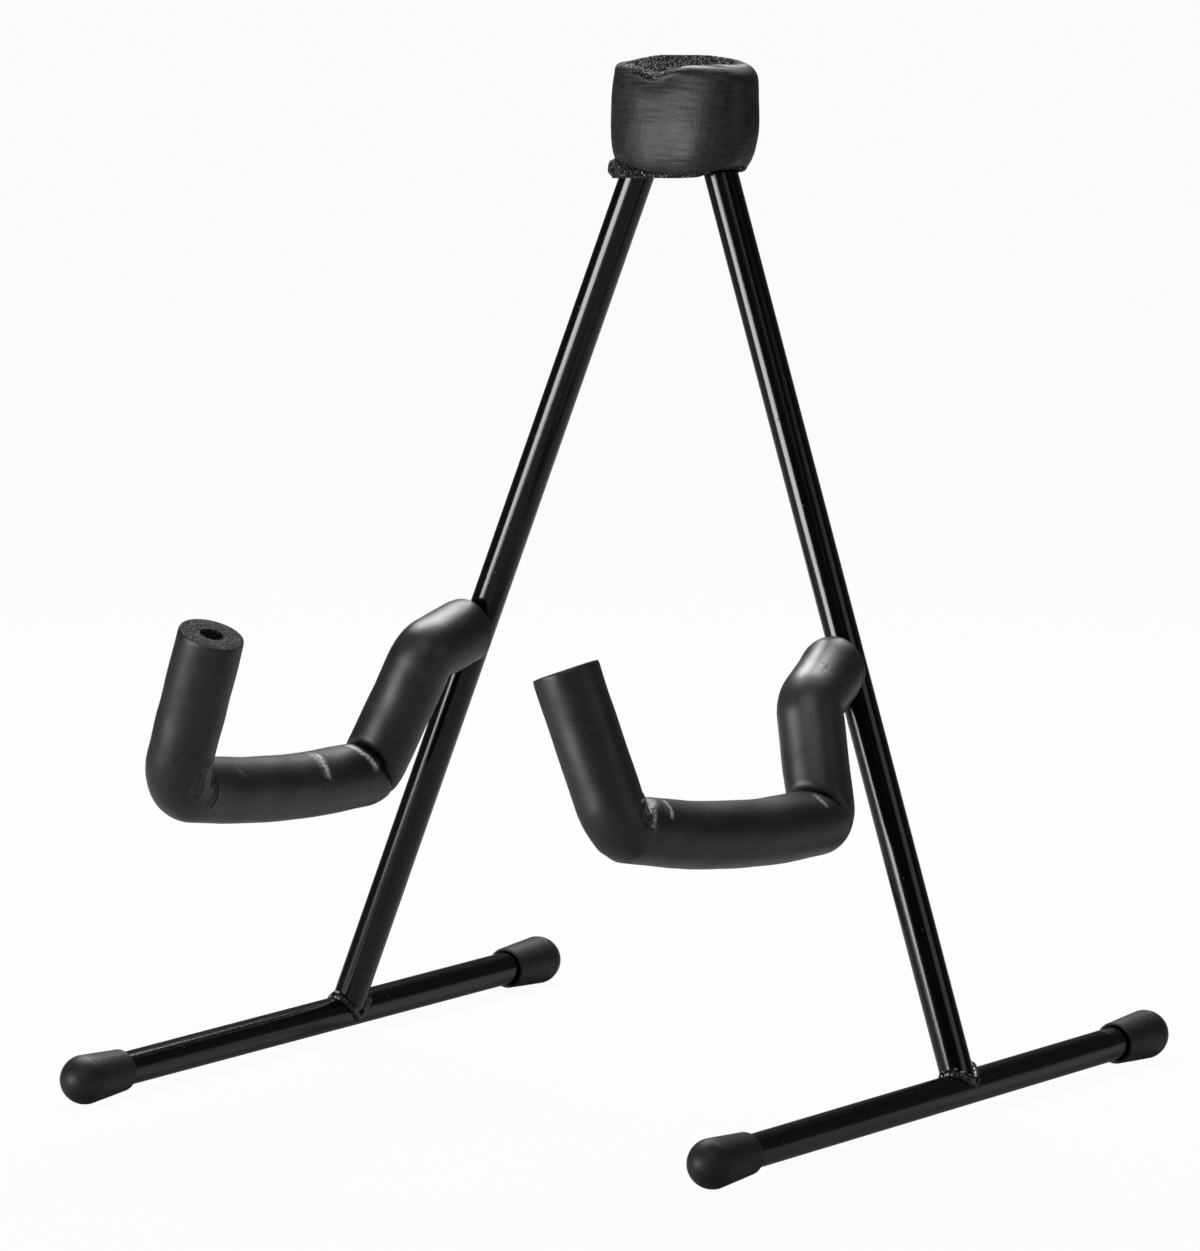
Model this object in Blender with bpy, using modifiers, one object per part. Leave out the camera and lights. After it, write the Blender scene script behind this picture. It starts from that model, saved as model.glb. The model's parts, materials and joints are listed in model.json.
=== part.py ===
"""Folding ukulele stand: two welded steel side frames riveted to one hinge bracket.

Each side frame is flat. It holds a foot tube, an upright welded to it and a bent rod that
carries the instrument. The frames lean towards each other like the sides of the letter A and
meet in a hinge bracket, which a thick foam cuff covers. Foam sleeves cover the two rods, and
rubber caps close the foot tubes.

Units are metres and degrees. +X is the right side, -Y the front, where the instrument stands,
and +Z is up. The origin is on the floor, in the middle of the stand's footprint.
"""

import math

import bmesh
import bpy
from mathutils import Matrix, Vector

# Fits
GAP = 0.0003
HINGE_CLEARANCE = 0.0003
STOP_CLEARANCE = 0.0003
CUFF_CLEARANCE = 0.0007
SLEEVE_BORE_CLEARANCE = 0.0003

# Side frame: lengths along the tubes, and the angles of the open stand
TUBE_RADIUS = 0.005
TUBE_WALL = 0.0012
LEG_LENGTH = 0.2992
LEG_SPREAD = 20.13
LEG_LEAN = 3.8
TUBE_TOP_MARGIN = 0.0065
TUBE_TOP_SPACING = 0.001
FOOT_FRONT = 0.1394
FOOT_REAR = 0.1109

# Rubber caps
CAP_RADIUS = 0.00735
CAP_MOUTH_WALL = 0.0009
CAP_LIP = 0.0004
CAP_CONE_LENGTH = 0.0175
CAP_DOME_LENGTH = 0.0075
CAP_END_WALL = 0.0035
CAP_FLAT_DEPTH = 0.0002

# Bent rod: the straight runs between its corners, each with its angle in the side frame's plane
ROD_RADIUS = 0.0032
ROD_HEIGHT = 0.1274
NECK_RUN = 0.0197
NECK_FALL = 6.5
ELBOW_RUN = 0.0168
ELBOW_FALL = 54.4
DROP_RUN = 0.0270
DROP_SLANT = 14.6
CRADLE_REAR_RUN = 0.0488
CRADLE_REAR_RISE = 2.7
CRADLE_FRONT_RUN = 0.0531
CRADLE_FRONT_RISE = 8.7
CRADLE_BOW_RADIUS = 0.18
TIP_RUN = 0.0507
TIP_SLANT = 6.3
ROD_END_RECESS = 0.009

# Foam sleeve, and how tightly it is squeezed on the inside of each bend
SLEEVE_RADIUS = 0.010
NECK_INNER_RADIUS = 0.003
ELBOW_INNER_RADIUS = 0.008
DROP_INNER_RADIUS = 0.0008
TIP_INNER_RADIUS = 0.003

# Weld beads
FOOT_BEAD_RADIUS = 0.0014
FOOT_BEAD_SIDE_SHARE = 0.45
ROD_BEAD_RADIUS = 0.0008
BEAD_STANDOFF = 0.0005

# Hinge bracket and its rivets
BRACKET_SHEET = 0.0015
BRACKET_FOLD_RADIUS = 0.002
BRACKET_EDGE = 0.0058
BRACKET_CORNER_RADIUS = 0.0015
RIVET_RADIUS = 0.0025
RIVET_HEAD_RADIUS = 0.0043
RIVET_HEAD_HEIGHT = 0.0016

# Foam cuff over the hinge
CUFF_WALL = 0.0039
CUFF_SIDE_WALL = 0.0030
CUFF_HEIGHT = 0.0329
CUFF_TOP_COVER = 0.0037
CUFF_ROUNDING = 0.0042
CUFF_HEEL_ROUNDING = 0.0020
CUFF_TOP_DISH = 0.0005
CUFF_SLOT_HALF_LENGTH = 0.0105
CUFF_SLOT_HALF_WIDTH = 0.0014
CUFF_OUTER_POWER = 2.6
CUFF_CAVITY_POWER = 3.0
CUFF_SLOT_POWER = 2.5

# Facets
TUBE_SIDES = 28
ROD_SIDES = 12
SLEEVE_SIDES = 20
BEND_STEPS = 7
ELBOW_STEPS = 4
BOW_STEPS = 3
CAP_SIDES = 24
DOME_STEPS = 6
RIVET_SIDES = 20
ARC_STEPS = 5
CUFF_SIDES = 40
BEAD_SIDES = 8
BEAD_STEPS = 32
CUTTER_SIDES = 28

MERGE_DISTANCE = 0.00001
SMOOTH_ANGLE = math.radians(40.0)
REACH = 0.02

# Sizes that follow from the ones above
SPREAD = math.radians(LEG_SPREAD)
LEAN = math.radians(LEG_LEAN)
FRAME_TILT = math.atan(math.tan(SPREAD) / math.cos(LEAN))
UPRIGHT_LEAN = math.asin(math.cos(SPREAD) * math.sin(LEAN))
TUBE_CUT_RADIUS = TUBE_RADIUS + GAP
PIN_X = (TUBE_RADIUS * math.cos(SPREAD) + TUBE_TOP_MARGIN * math.sin(SPREAD)
         + TUBE_TOP_SPACING / 2)
FOOT_X = PIN_X + LEG_LENGTH * math.sin(SPREAD)
FOOT_HEIGHT = CAP_RADIUS - CAP_FLAT_DEPTH
CAP_LENGTH = CAP_CONE_LENGTH + CAP_DOME_LENGTH
CAP_BORE_RADIUS = TUBE_RADIUS + GAP
SLEEVE_BORE_RADIUS = ROD_RADIUS + SLEEVE_BORE_CLEARANCE
NECK_TO_UPRIGHT = math.radians(NECK_FALL) + UPRIGHT_LEAN
SLEEVE_START = ((TUBE_CUT_RADIUS + SLEEVE_RADIUS * math.sin(NECK_TO_UPRIGHT))
                / math.cos(NECK_TO_UPRIGHT))
BRACKET_HALF_GAP = TUBE_RADIUS + HINGE_CLEARANCE
BRACKET_HALF_DEPTH = BRACKET_HALF_GAP + BRACKET_SHEET
BRACKET_HALF_WIDTH = PIN_X + BRACKET_EDGE
BRACKET_TOP = (TUBE_TOP_MARGIN * math.cos(SPREAD) + TUBE_RADIUS * math.sin(SPREAD)
               + STOP_CLEARANCE + BRACKET_SHEET)
RIVET_HOLE_RADIUS = RIVET_RADIUS + HINGE_CLEARANCE
RIVET_HALF_GRIP = BRACKET_HALF_DEPTH + GAP
CUFF_TOP = BRACKET_TOP + CUFF_TOP_COVER
CUFF_BOTTOM = CUFF_TOP - CUFF_HEIGHT


def run_step(length, rise):
    """Step (forward, up) of a straight run that rises by `rise` degrees."""
    angle = math.radians(rise)
    return Vector((length * math.cos(angle), length * math.sin(angle)))


def rod_corners():
    """Corners of the rod's centre line, in the side frame's plane.

    The plane's origin is where the upright's axis meets the foot tube's.
    """
    corner = Vector((-ROD_HEIGHT * math.tan(UPRIGHT_LEAN), ROD_HEIGHT))
    runs = (
        (NECK_RUN, -NECK_FALL),
        (ELBOW_RUN, -ELBOW_FALL),
        (DROP_RUN, DROP_SLANT - 90.0),
        (CRADLE_REAR_RUN, CRADLE_REAR_RISE),
        (CRADLE_FRONT_RUN, CRADLE_FRONT_RISE),
        (TIP_RUN, 90.0 - TIP_SLANT),
    )
    corners = [corner]
    for length, rise in runs:
        corner = corner + run_step(length, rise)
        corners.append(corner)
    return [Vector((0.0, -forward, up)) for forward, up in corners]


def weld_y():
    """Y of the upright's foot, which puts the origin midway between the front and the back."""
    tip_forward = -rod_corners()[-1].y
    sleeve_reach = tip_forward + SLEEVE_RADIUS * math.cos(math.radians(TIP_SLANT))
    return (max(FOOT_FRONT, sleeve_reach) - FOOT_REAR) / 2


def clear_scene():
    """Remove every object that is already in the file."""
    for obj in list(bpy.data.objects):
        bpy.data.objects.remove(obj, do_unlink=True)


def new_collection(name):
    """Add a collection to the scene."""
    collection = bpy.data.collections.new(name)
    bpy.context.scene.collection.children.link(collection)
    return collection


def new_material(name, colour, roughness, metallic):
    """Make a plain material with the part's colour."""
    material = bpy.data.materials.new(name)
    material.use_nodes = True
    shader = material.node_tree.nodes["Principled BSDF"]
    shader.inputs["Base Color"].default_value = (*colour, 1.0)
    shader.inputs["Roughness"].default_value = roughness
    shader.inputs["Metallic"].default_value = metallic
    return material


def mesh_from_points(name, points, edges, faces):
    """Mesh of the given points, edges and faces, with its normals made consistent."""
    mesh = bpy.data.meshes.new(name)
    mesh.from_pydata(points, edges, faces)
    if faces:
        shape = bmesh.new()
        shape.from_mesh(mesh)
        bmesh.ops.recalc_face_normals(shape, faces=shape.faces)
        shape.to_mesh(mesh)
        shape.free()
    return mesh


def smooth(mesh):
    """Shade a round piece smooth, and keep its real edges sharp."""
    mesh.shade_smooth()
    mesh.set_sharp_from_angle(angle=SMOOTH_ANGLE)
    return mesh


def profile_mesh(name, points, closed):
    """Profile (radius, height) as a line at +X, for a Screw modifier about Z."""
    count = len(points)
    edges = [(index, index + 1) for index in range(count - 1)]
    if closed:
        edges.append((count - 1, 0))
    return mesh_from_points(name, [(radius, 0.0, height) for radius, height in points], edges, [])


def turn(obj, sides):
    """Turn a profile about the object's Z axis."""
    screw = obj.modifiers.new("turned", "SCREW")
    screw.axis = "Z"
    screw.steps = sides
    screw.render_steps = sides
    screw.use_merge_vertices = True
    screw.merge_threshold = MERGE_DISTANCE
    screw.use_smooth_shade = True


def mesh_from_curve(name, curve):
    """Mesh of a curve's tube or sheet, with the seams round its caps welded."""
    holder = bpy.data.objects.new(name, curve)
    bpy.context.scene.collection.objects.link(holder)
    graph = bpy.context.evaluated_depsgraph_get()
    mesh = bpy.data.meshes.new_from_object(holder.evaluated_get(graph))
    mesh.name = name
    shape = bmesh.new()
    shape.from_mesh(mesh)
    bmesh.ops.remove_doubles(shape, verts=shape.verts, dist=MERGE_DISTANCE)
    shape.to_mesh(mesh)
    shape.free()
    bpy.data.objects.remove(holder)
    bpy.data.curves.remove(curve)
    return mesh


def tube_curve(name, points, radius, sides, caps=True, cyclic=False, swell=None):
    """Curve with a round section along a list of points."""
    curve = bpy.data.curves.new(name, "CURVE")
    curve.dimensions = "3D"
    curve.bevel_depth = radius
    curve.bevel_resolution = (sides - 4) // 2
    curve.use_fill_caps = caps
    spline = curve.splines.new("POLY")
    spline.points.add(len(points) - 1)
    spline.use_cyclic_u = cyclic
    for index, point in enumerate(points):
        spline.points[index].co = (*point, 1.0)
        spline.points[index].radius = swell[index] if swell else 1.0
    return curve


def outline_curve(name, outline, half_thickness):
    """Flat sheet of the given outline in the XY plane."""
    curve = bpy.data.curves.new(name, "CURVE")
    curve.dimensions = "2D"
    curve.fill_mode = "BOTH"
    curve.extrude = half_thickness
    spline = curve.splines.new("POLY")
    spline.points.add(len(outline) - 1)
    spline.use_cyclic_u = True
    for point, (x, y) in zip(spline.points, outline):
        point.co = (x, y, 0.0, 1.0)
    return curve


def cylinder_mesh(name, radius, length):
    """Plain cylinder along Z, centred on the origin."""
    mesh = bpy.data.meshes.new(name)
    shape = bmesh.new()
    bmesh.ops.create_cone(shape, cap_ends=True, segments=CUTTER_SIDES, radius1=radius,
                          radius2=radius, depth=length)
    shape.to_mesh(mesh)
    shape.free()
    return mesh


def box_mesh(name, size):
    """Plain cube centred on the origin."""
    mesh = bpy.data.meshes.new(name)
    shape = bmesh.new()
    bmesh.ops.create_cube(shape, size=size)
    shape.to_mesh(mesh)
    shape.free()
    return mesh


def arc(centre, radius, start, end, steps):
    """Points on an arc, angles in degrees."""
    points = []
    for index in range(steps + 1):
        angle = math.radians(start + (end - start) * index / steps)
        points.append((centre[0] + radius * math.cos(angle), centre[1] + radius * math.sin(angle)))
    return points


def rounded_path(corners, radii, steps):
    """Straight runs between corners, with each inner corner rounded to its bend radius."""
    path = [corners[0]]
    for index in range(1, len(corners) - 1):
        corner = corners[index]
        back = (corners[index - 1] - corner).normalized()
        ahead = (corners[index + 1] - corner).normalized()
        half_angle = back.angle(ahead) / 2
        radius = radii[index - 1]
        centre = corner + (back + ahead).normalized() * (radius / math.sin(half_angle))
        first = corner + back * (radius / math.tan(half_angle)) - centre
        last = corner + ahead * (radius / math.tan(half_angle)) - centre
        bend = first.angle(last)
        count = steps[index - 1]
        for step in range(count + 1):
            turned = bend * step / count
            blend = first * math.sin(bend - turned) + last * math.sin(turned)
            path.append(centre + blend / math.sin(bend))
    path.append(corners[-1])
    return path


def rod_path(start, recess):
    """The rod's centre line, from `start` along its neck to `recess` short of the sleeve's end."""
    corners = rod_corners()
    neck = (corners[1] - corners[0]).normalized()
    tip = (corners[-1] - corners[-2]).normalized()
    corners[0] = corners[0] + neck * start
    corners[-1] = corners[-1] - tip * recess
    radii = (SLEEVE_RADIUS + NECK_INNER_RADIUS, SLEEVE_RADIUS + ELBOW_INNER_RADIUS,
             SLEEVE_RADIUS + DROP_INNER_RADIUS, CRADLE_BOW_RADIUS,
             SLEEVE_RADIUS + TIP_INNER_RADIUS)
    steps = (BEND_STEPS, ELBOW_STEPS, BEND_STEPS, BOW_STEPS, BEND_STEPS)
    return rounded_path(corners, radii, steps)


def saddle_loop(branch_axis, branch_radius, trunk_axis, trunk_radius):
    """Closed curve where a branch tube leaves a trunk tube, both axes through the origin."""
    side = branch_axis.cross(trunk_axis).normalized()
    along = side.cross(branch_axis).normalized()
    slope = branch_axis - trunk_axis * branch_axis.dot(trunk_axis)
    loop = []
    for index in range(BEAD_STEPS):
        angle = 2 * math.pi * index / BEAD_STEPS
        rim = (side * math.cos(angle) + along * math.sin(angle)) * branch_radius
        flat = rim - trunk_axis * rim.dot(trunk_axis)
        half = flat.dot(slope)
        rest = half * half - slope.dot(slope) * (flat.dot(flat) - trunk_radius * trunk_radius)
        loop.append(rim + branch_axis * ((math.sqrt(max(rest, 0.0)) - half) / slope.dot(slope)))
    return loop


def ring_points(half_width, half_depth, height, power):
    """Rounded oblong ring: |x / half width| and |y / half depth|, each to a power, sum to 1."""
    points = []
    for index in range(CUFF_SIDES):
        angle = 2 * math.pi * index / CUFF_SIDES
        cosine = math.cos(angle)
        sine = math.sin(angle)
        x = math.copysign(abs(cosine) ** (2 / power), cosine) * half_width
        y = math.copysign(abs(sine) ** (2 / power), sine) * half_depth
        points.append((x, y, height))
    return points


def loft(name, rings):
    """Closed skin through rings of equal count, the last ring joined to the first."""
    count = len(rings[0])
    points = [point for ring in rings for point in ring]
    faces = []
    for level in range(len(rings)):
        here = level * count
        there = (level + 1) % len(rings) * count
        for index in range(count):
            after = (index + 1) % count
            faces.append((here + index, here + after, there + after, there + index))
    return mesh_from_points(name, points, [], faces)


class Stand:
    """Holds the collections, the finishes and the empties that carry the pieces."""

    def __init__(self):
        self.parts = new_collection("ukulele_stand")
        self.cutters = new_collection("cutters")
        self.steel = new_material("black_powder_coat", (0.012, 0.012, 0.012), 0.25, 0.0)
        self.weld = new_material("coated_weld", (0.014, 0.014, 0.014), 0.4, 0.0)
        self.zinc = new_material("zinc_plate", (0.55, 0.56, 0.58), 0.35, 1.0)
        self.foam = new_material("black_foam", (0.028, 0.028, 0.029), 0.6, 0.0)
        self.rubber = new_material("black_rubber", (0.022, 0.022, 0.023), 0.55, 0.0)
        self.pivot_offset = Vector((0.0, math.sin(UPRIGHT_LEAN), math.cos(UPRIGHT_LEAN)))
        self.pivot_offset *= LEG_LENGTH
        self.hinge = self.add_hinge_empty()
        self.legs = {side: self.add_leg_empty(side, sign)
                     for side, sign in (("left", -1.0), ("right", 1.0))}

    def leg_matrix(self, sign):
        """Place of a side frame: its plane tilted inwards about the foot tube."""
        place = Matrix.Translation((sign * FOOT_X, weld_y(), FOOT_HEIGHT))
        return place @ Matrix.Rotation(-sign * FRAME_TILT, 4, "Y")

    def add_empty(self, name, matrix):
        """Add an empty that carries a moving group or the bracket."""
        empty = bpy.data.objects.new(name, None)
        self.parts.objects.link(empty)
        empty.matrix_basis = matrix
        return empty

    def add_hinge_empty(self):
        """Empty midway between the two rivets, with Y along them and Z up the leaning hinge."""
        pivot = self.leg_matrix(1.0) @ self.pivot_offset
        place = Matrix.Translation((0.0, pivot.y, pivot.z))
        return self.add_empty("hinge_frame", place @ Matrix.Rotation(-LEAN, 4, "X"))

    def add_leg_empty(self, side, sign):
        """Empty on a rivet's axis, in the side frame's own plane."""
        place = self.leg_matrix(sign) @ Matrix.Translation(self.pivot_offset)
        return self.add_empty(side + "_leg_pivot", place)

    def add(self, name, mesh, carrier, matrix, finish):
        """Add a piece that its carrier empty holds."""
        obj = bpy.data.objects.new(name, mesh)
        self.parts.objects.link(obj)
        obj.parent = carrier
        obj.matrix_basis = matrix
        if not mesh.materials:
            mesh.materials.append(finish)
        return obj

    def add_to_leg(self, side, name, mesh, matrix, finish):
        """Add a piece placed in the side frame's plane, measured from the upright's foot."""
        place = Matrix.Translation(-self.pivot_offset) @ matrix
        return self.add(side + "_" + name, mesh, self.legs[side], place, finish)

    def cut(self, obj, name, mesh, carrier, matrix, operation="DIFFERENCE"):
        """Cut a piece with a hidden cutter."""
        cutter = bpy.data.objects.new(obj.name + "_" + name, mesh)
        self.cutters.objects.link(cutter)
        cutter.parent = carrier
        cutter.matrix_basis = matrix
        cutter.hide_render = True
        cutter.display_type = "WIRE"
        boolean = obj.modifiers.new(name, "BOOLEAN")
        boolean.operation = operation
        boolean.solver = "EXACT"
        boolean.object = cutter

    def cut_in_leg(self, side, obj, name, mesh, matrix):
        """Cut a piece with a cutter placed in the side frame's plane."""
        place = Matrix.Translation(-self.pivot_offset) @ matrix
        self.cut(obj, name, mesh, self.legs[side], place)

    def cut_at_foot_tube(self, side, obj):
        """Clear a piece from the foot tube."""
        cutter = cylinder_mesh("foot_tube_cutter", TUBE_CUT_RADIUS, 2 * REACH)
        self.cut_in_leg(side, obj, "foot_seat", cutter, Matrix.Rotation(math.pi / 2, 4, "X"))

    def cut_at_upright(self, side, obj, height):
        """Clear a piece from the upright, round a height up the side frame."""
        cutter = cylinder_mesh("upright_cutter", TUBE_CUT_RADIUS, 2 * REACH)
        place = Matrix.Rotation(-UPRIGHT_LEAN, 4, "X") @ Matrix.Translation(
            (0.0, 0.0, height / math.cos(UPRIGHT_LEAN)))
        self.cut_in_leg(side, obj, "upright_seat", cutter, place)

    def cut_rivet_hole(self, obj, name, x):
        """Drill a rivet hole square to the hinge."""
        cutter = cylinder_mesh("rivet_hole_cutter", RIVET_HOLE_RADIUS, 2 * REACH)
        place = Matrix.Translation((x, 0.0, 0.0)) @ Matrix.Rotation(math.pi / 2, 4, "X")
        self.cut(obj, name, cutter, self.hinge, place)


def pipe_profile(bottom, top):
    """Wall of a tube along Z: down its outside, then up its bore."""
    bore = TUBE_RADIUS - TUBE_WALL
    return [(TUBE_RADIUS, top), (TUBE_RADIUS, bottom), (bore, bottom), (bore, top)]


def add_upright(stand, side, sign):
    """Upright tube: coped over the foot tube, cut square at the top and drilled for its rivet."""
    profile = pipe_profile(0.0, LEG_LENGTH + TUBE_TOP_MARGIN)
    upright = stand.add_to_leg(side, "upright_tube", profile_mesh("upright_tube", profile, True),
                               Matrix.Rotation(-UPRIGHT_LEAN, 4, "X"), stand.steel)
    turn(upright, TUBE_SIDES)
    stand.cut_at_foot_tube(side, upright)
    stand.cut_rivet_hole(upright, "rivet_hole", sign * PIN_X)


def add_foot_tube(stand, side):
    """Straight foot tube, which stops inside the two caps."""
    inside_cap = CAP_END_WALL + GAP
    profile = pipe_profile(-(FOOT_REAR - inside_cap), FOOT_FRONT - inside_cap)
    foot = stand.add_to_leg(side, "foot_tube", profile_mesh("foot_tube", profile, True),
                            Matrix.Rotation(math.pi / 2, 4, "X"), stand.steel)
    turn(foot, TUBE_SIDES)


def cap_profile():
    """Cap's wall: down the dome and the cone to the mouth, then up the blind bore."""
    mouth = CAP_BORE_RADIUS + CAP_MOUTH_WALL
    points = []
    for index in range(DOME_STEPS + 1):
        angle = math.pi / 2 * (1 - index / DOME_STEPS)
        points.append((CAP_RADIUS * math.cos(angle),
                       CAP_CONE_LENGTH + CAP_DOME_LENGTH * math.sin(angle)))
    points[0] = (0.0, CAP_LENGTH)
    points += [(mouth, CAP_LIP), (mouth - CAP_LIP, 0.0), (CAP_BORE_RADIUS, 0.0)]
    bore_end = CAP_LENGTH - CAP_END_WALL
    points += [(CAP_BORE_RADIUS, bore_end), (0.0, bore_end)]
    return points


def add_cap(stand, side, sign, end, forward):
    """Rubber cap on one end of a foot tube, with the small flat that bears on the floor."""
    reach = FOOT_FRONT if forward else FOOT_REAR
    mouth_y = (CAP_LENGTH - reach) * (1.0 if forward else -1.0)
    turned = Matrix.Rotation((1.0 if forward else -1.0) * math.pi / 2, 4, "X")
    cap = stand.add_to_leg(side, end + "_cap", profile_mesh(end + "_cap", cap_profile(), False),
                           Matrix.Translation((0.0, mouth_y, 0.0)) @ turned, stand.rubber)
    turn(cap, CAP_SIDES)
    box_size = 2 * CAP_LENGTH
    centre_y = weld_y() + (-reach if forward else reach)
    place = Matrix.Translation((sign * FOOT_X, centre_y, -box_size / 2))
    stand.cut(cap, "floor", box_mesh("floor_cutter", box_size), None, place)


def add_foot_weld(stand, side):
    """Fillet bead round the upright's foot, thin at the sides where the tubes run together."""
    upright_axis = Vector((0.0, math.sin(UPRIGHT_LEAN), math.cos(UPRIGHT_LEAN)))
    radius = TUBE_RADIUS + BEAD_STANDOFF
    loop = saddle_loop(upright_axis, radius, Vector((0.0, 1.0, 0.0)), radius)
    swell = []
    for index in range(BEAD_STEPS):
        height = abs(math.sin(2 * math.pi * index / BEAD_STEPS))
        swell.append(FOOT_BEAD_SIDE_SHARE + (1 - FOOT_BEAD_SIDE_SHARE) * height)
    curve = tube_curve("foot_weld", loop, FOOT_BEAD_RADIUS, BEAD_SIDES, False, True, swell)
    weld = stand.add_to_leg(side, "foot_weld", smooth(mesh_from_curve("foot_weld", curve)),
                            Matrix(), stand.weld)
    stand.cut_at_foot_tube(side, weld)
    stand.cut_at_upright(side, weld, 0.0)


def neck_frame():
    """Place of the neck: origin on the upright's axis, Z along the rod."""
    corners = rod_corners()
    turned = Matrix.Rotation(math.pi / 2 + math.radians(NECK_FALL), 4, "X")
    return Matrix.Translation(corners[0]) @ turned


def add_rod(stand, side):
    """Bent rod that carries the instrument, coped onto the front of the upright."""
    curve = tube_curve("hook_rod", rod_path(TUBE_RADIUS / 2, ROD_END_RECESS), ROD_RADIUS,
                       ROD_SIDES)
    rod = stand.add_to_leg(side, "hook_rod", smooth(mesh_from_curve("hook_rod", curve)),
                           Matrix(), stand.steel)
    stand.cut_at_upright(side, rod, ROD_HEIGHT)


def add_rod_weld(stand, side):
    """Bead round the rod's foot, hidden by the end of the foam sleeve."""
    upright_axis = Vector((0.0, math.sin(UPRIGHT_LEAN), math.cos(UPRIGHT_LEAN)))
    neck_axis = (rod_corners()[1] - rod_corners()[0]).normalized()
    loop = saddle_loop(neck_axis, ROD_RADIUS + BEAD_STANDOFF, upright_axis,
                       TUBE_RADIUS + BEAD_STANDOFF)
    curve = tube_curve("hook_weld", loop, ROD_BEAD_RADIUS, BEAD_SIDES, False, True)
    weld = stand.add_to_leg(side, "hook_weld", smooth(mesh_from_curve("hook_weld", curve)),
                            Matrix.Translation(rod_corners()[0]), stand.weld)
    stand.cut_at_upright(side, weld, ROD_HEIGHT)
    cutter = cylinder_mesh("rod_cutter", ROD_RADIUS + GAP, 2 * REACH)
    stand.cut_in_leg(side, weld, "rod_seat", cutter, neck_frame())


def add_sleeve(stand, side):
    """Foam sleeve on the rod: square cut at both ends, its lower rim against the upright."""
    curve = tube_curve("hook_sleeve", rod_path(SLEEVE_START, 0.0), SLEEVE_RADIUS, SLEEVE_SIDES,
                       False)
    sleeve = stand.add_to_leg(side, "hook_sleeve", smooth(mesh_from_curve("hook_sleeve", curve)),
                              Matrix(), stand.foam)
    wall = sleeve.modifiers.new("wall", "SOLIDIFY")
    wall.thickness = SLEEVE_RADIUS - SLEEVE_BORE_RADIUS
    wall.offset = -1.0


def bracket_outline():
    """Outline of the bracket's cheeks: round about the rivets, nearly square at the top."""
    top_x = BRACKET_HALF_WIDTH - BRACKET_CORNER_RADIUS
    top_y = BRACKET_TOP + GAP - BRACKET_CORNER_RADIUS
    outline = arc((PIN_X, 0.0), BRACKET_EDGE, -90.0, 0.0, ARC_STEPS)
    outline += arc((top_x, top_y), BRACKET_CORNER_RADIUS, 0.0, 90.0, ARC_STEPS)
    outline += arc((-top_x, top_y), BRACKET_CORNER_RADIUS, 90.0, 180.0, ARC_STEPS)
    outline += arc((-PIN_X, 0.0), BRACKET_EDGE, 180.0, 270.0, ARC_STEPS)
    return outline


def channel_mesh():
    """Outer skin of a folded channel: up the back cheek, over the web, down the front one."""
    fold = BRACKET_HALF_DEPTH - BRACKET_FOLD_RADIUS
    crown = BRACKET_TOP - BRACKET_FOLD_RADIUS
    section = [(BRACKET_HALF_DEPTH, -2 * BRACKET_EDGE)]
    section += arc((fold, crown), BRACKET_FOLD_RADIUS, 0.0, 90.0, ARC_STEPS)
    section += arc((-fold, crown), BRACKET_FOLD_RADIUS, 90.0, 180.0, ARC_STEPS)
    section.append((-BRACKET_HALF_DEPTH, -2 * BRACKET_EDGE))
    reach = 2 * BRACKET_HALF_WIDTH
    points = [(x, y, z) for x in (-reach, reach) for y, z in section]
    count = len(section)
    faces = [(index, index + 1, count + index + 1, count + index) for index in range(count - 1)]
    mesh = bpy.data.meshes.new("hinge_bracket")
    mesh.from_pydata(points, [], faces)
    return mesh


def add_bracket(stand):
    """Folded steel channel that holds the two uprights between its cheeks."""
    bracket = stand.add("hinge_bracket", channel_mesh(), stand.hinge, Matrix(), stand.steel)
    sheet = bracket.modifiers.new("sheet", "SOLIDIFY")
    sheet.thickness = BRACKET_SHEET
    sheet.offset = -1.0
    sheet.use_even_offset = True
    curve = outline_curve("cheek_outline", bracket_outline(), BRACKET_HALF_DEPTH + GAP)
    stand.cut(bracket, "cheek_outline", mesh_from_curve("cheek_outline", curve), stand.hinge,
              Matrix.Rotation(math.pi / 2, 4, "X"), "INTERSECT")
    stand.cut_rivet_hole(bracket, "left_hole", -PIN_X)
    stand.cut_rivet_hole(bracket, "right_hole", PIN_X)


def rivet_profile():
    """Rivet with a low round head at each end of its shank."""
    steps = ARC_STEPS - 1
    points = [(RIVET_HEAD_RADIUS * math.sin(math.pi / 2 * index / steps),
               RIVET_HALF_GRIP + RIVET_HEAD_HEIGHT * math.cos(math.pi / 2 * index / steps))
              for index in range(steps + 1)]
    points[0] = (0.0, RIVET_HALF_GRIP + RIVET_HEAD_HEIGHT)
    points.append((RIVET_RADIUS, RIVET_HALF_GRIP))
    return points + [(radius, -height) for radius, height in reversed(points)]


def add_rivet(stand, side, sign):
    """Rivet that a side frame turns on."""
    place = Matrix.Translation((sign * PIN_X, 0.0, 0.0)) @ Matrix.Rotation(math.pi / 2, 4, "X")
    mesh = profile_mesh("hinge_rivet", rivet_profile(), False)
    turn(stand.add(side + "_hinge_rivet", mesh, stand.hinge, place, stand.zinc), RIVET_SIDES)


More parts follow.
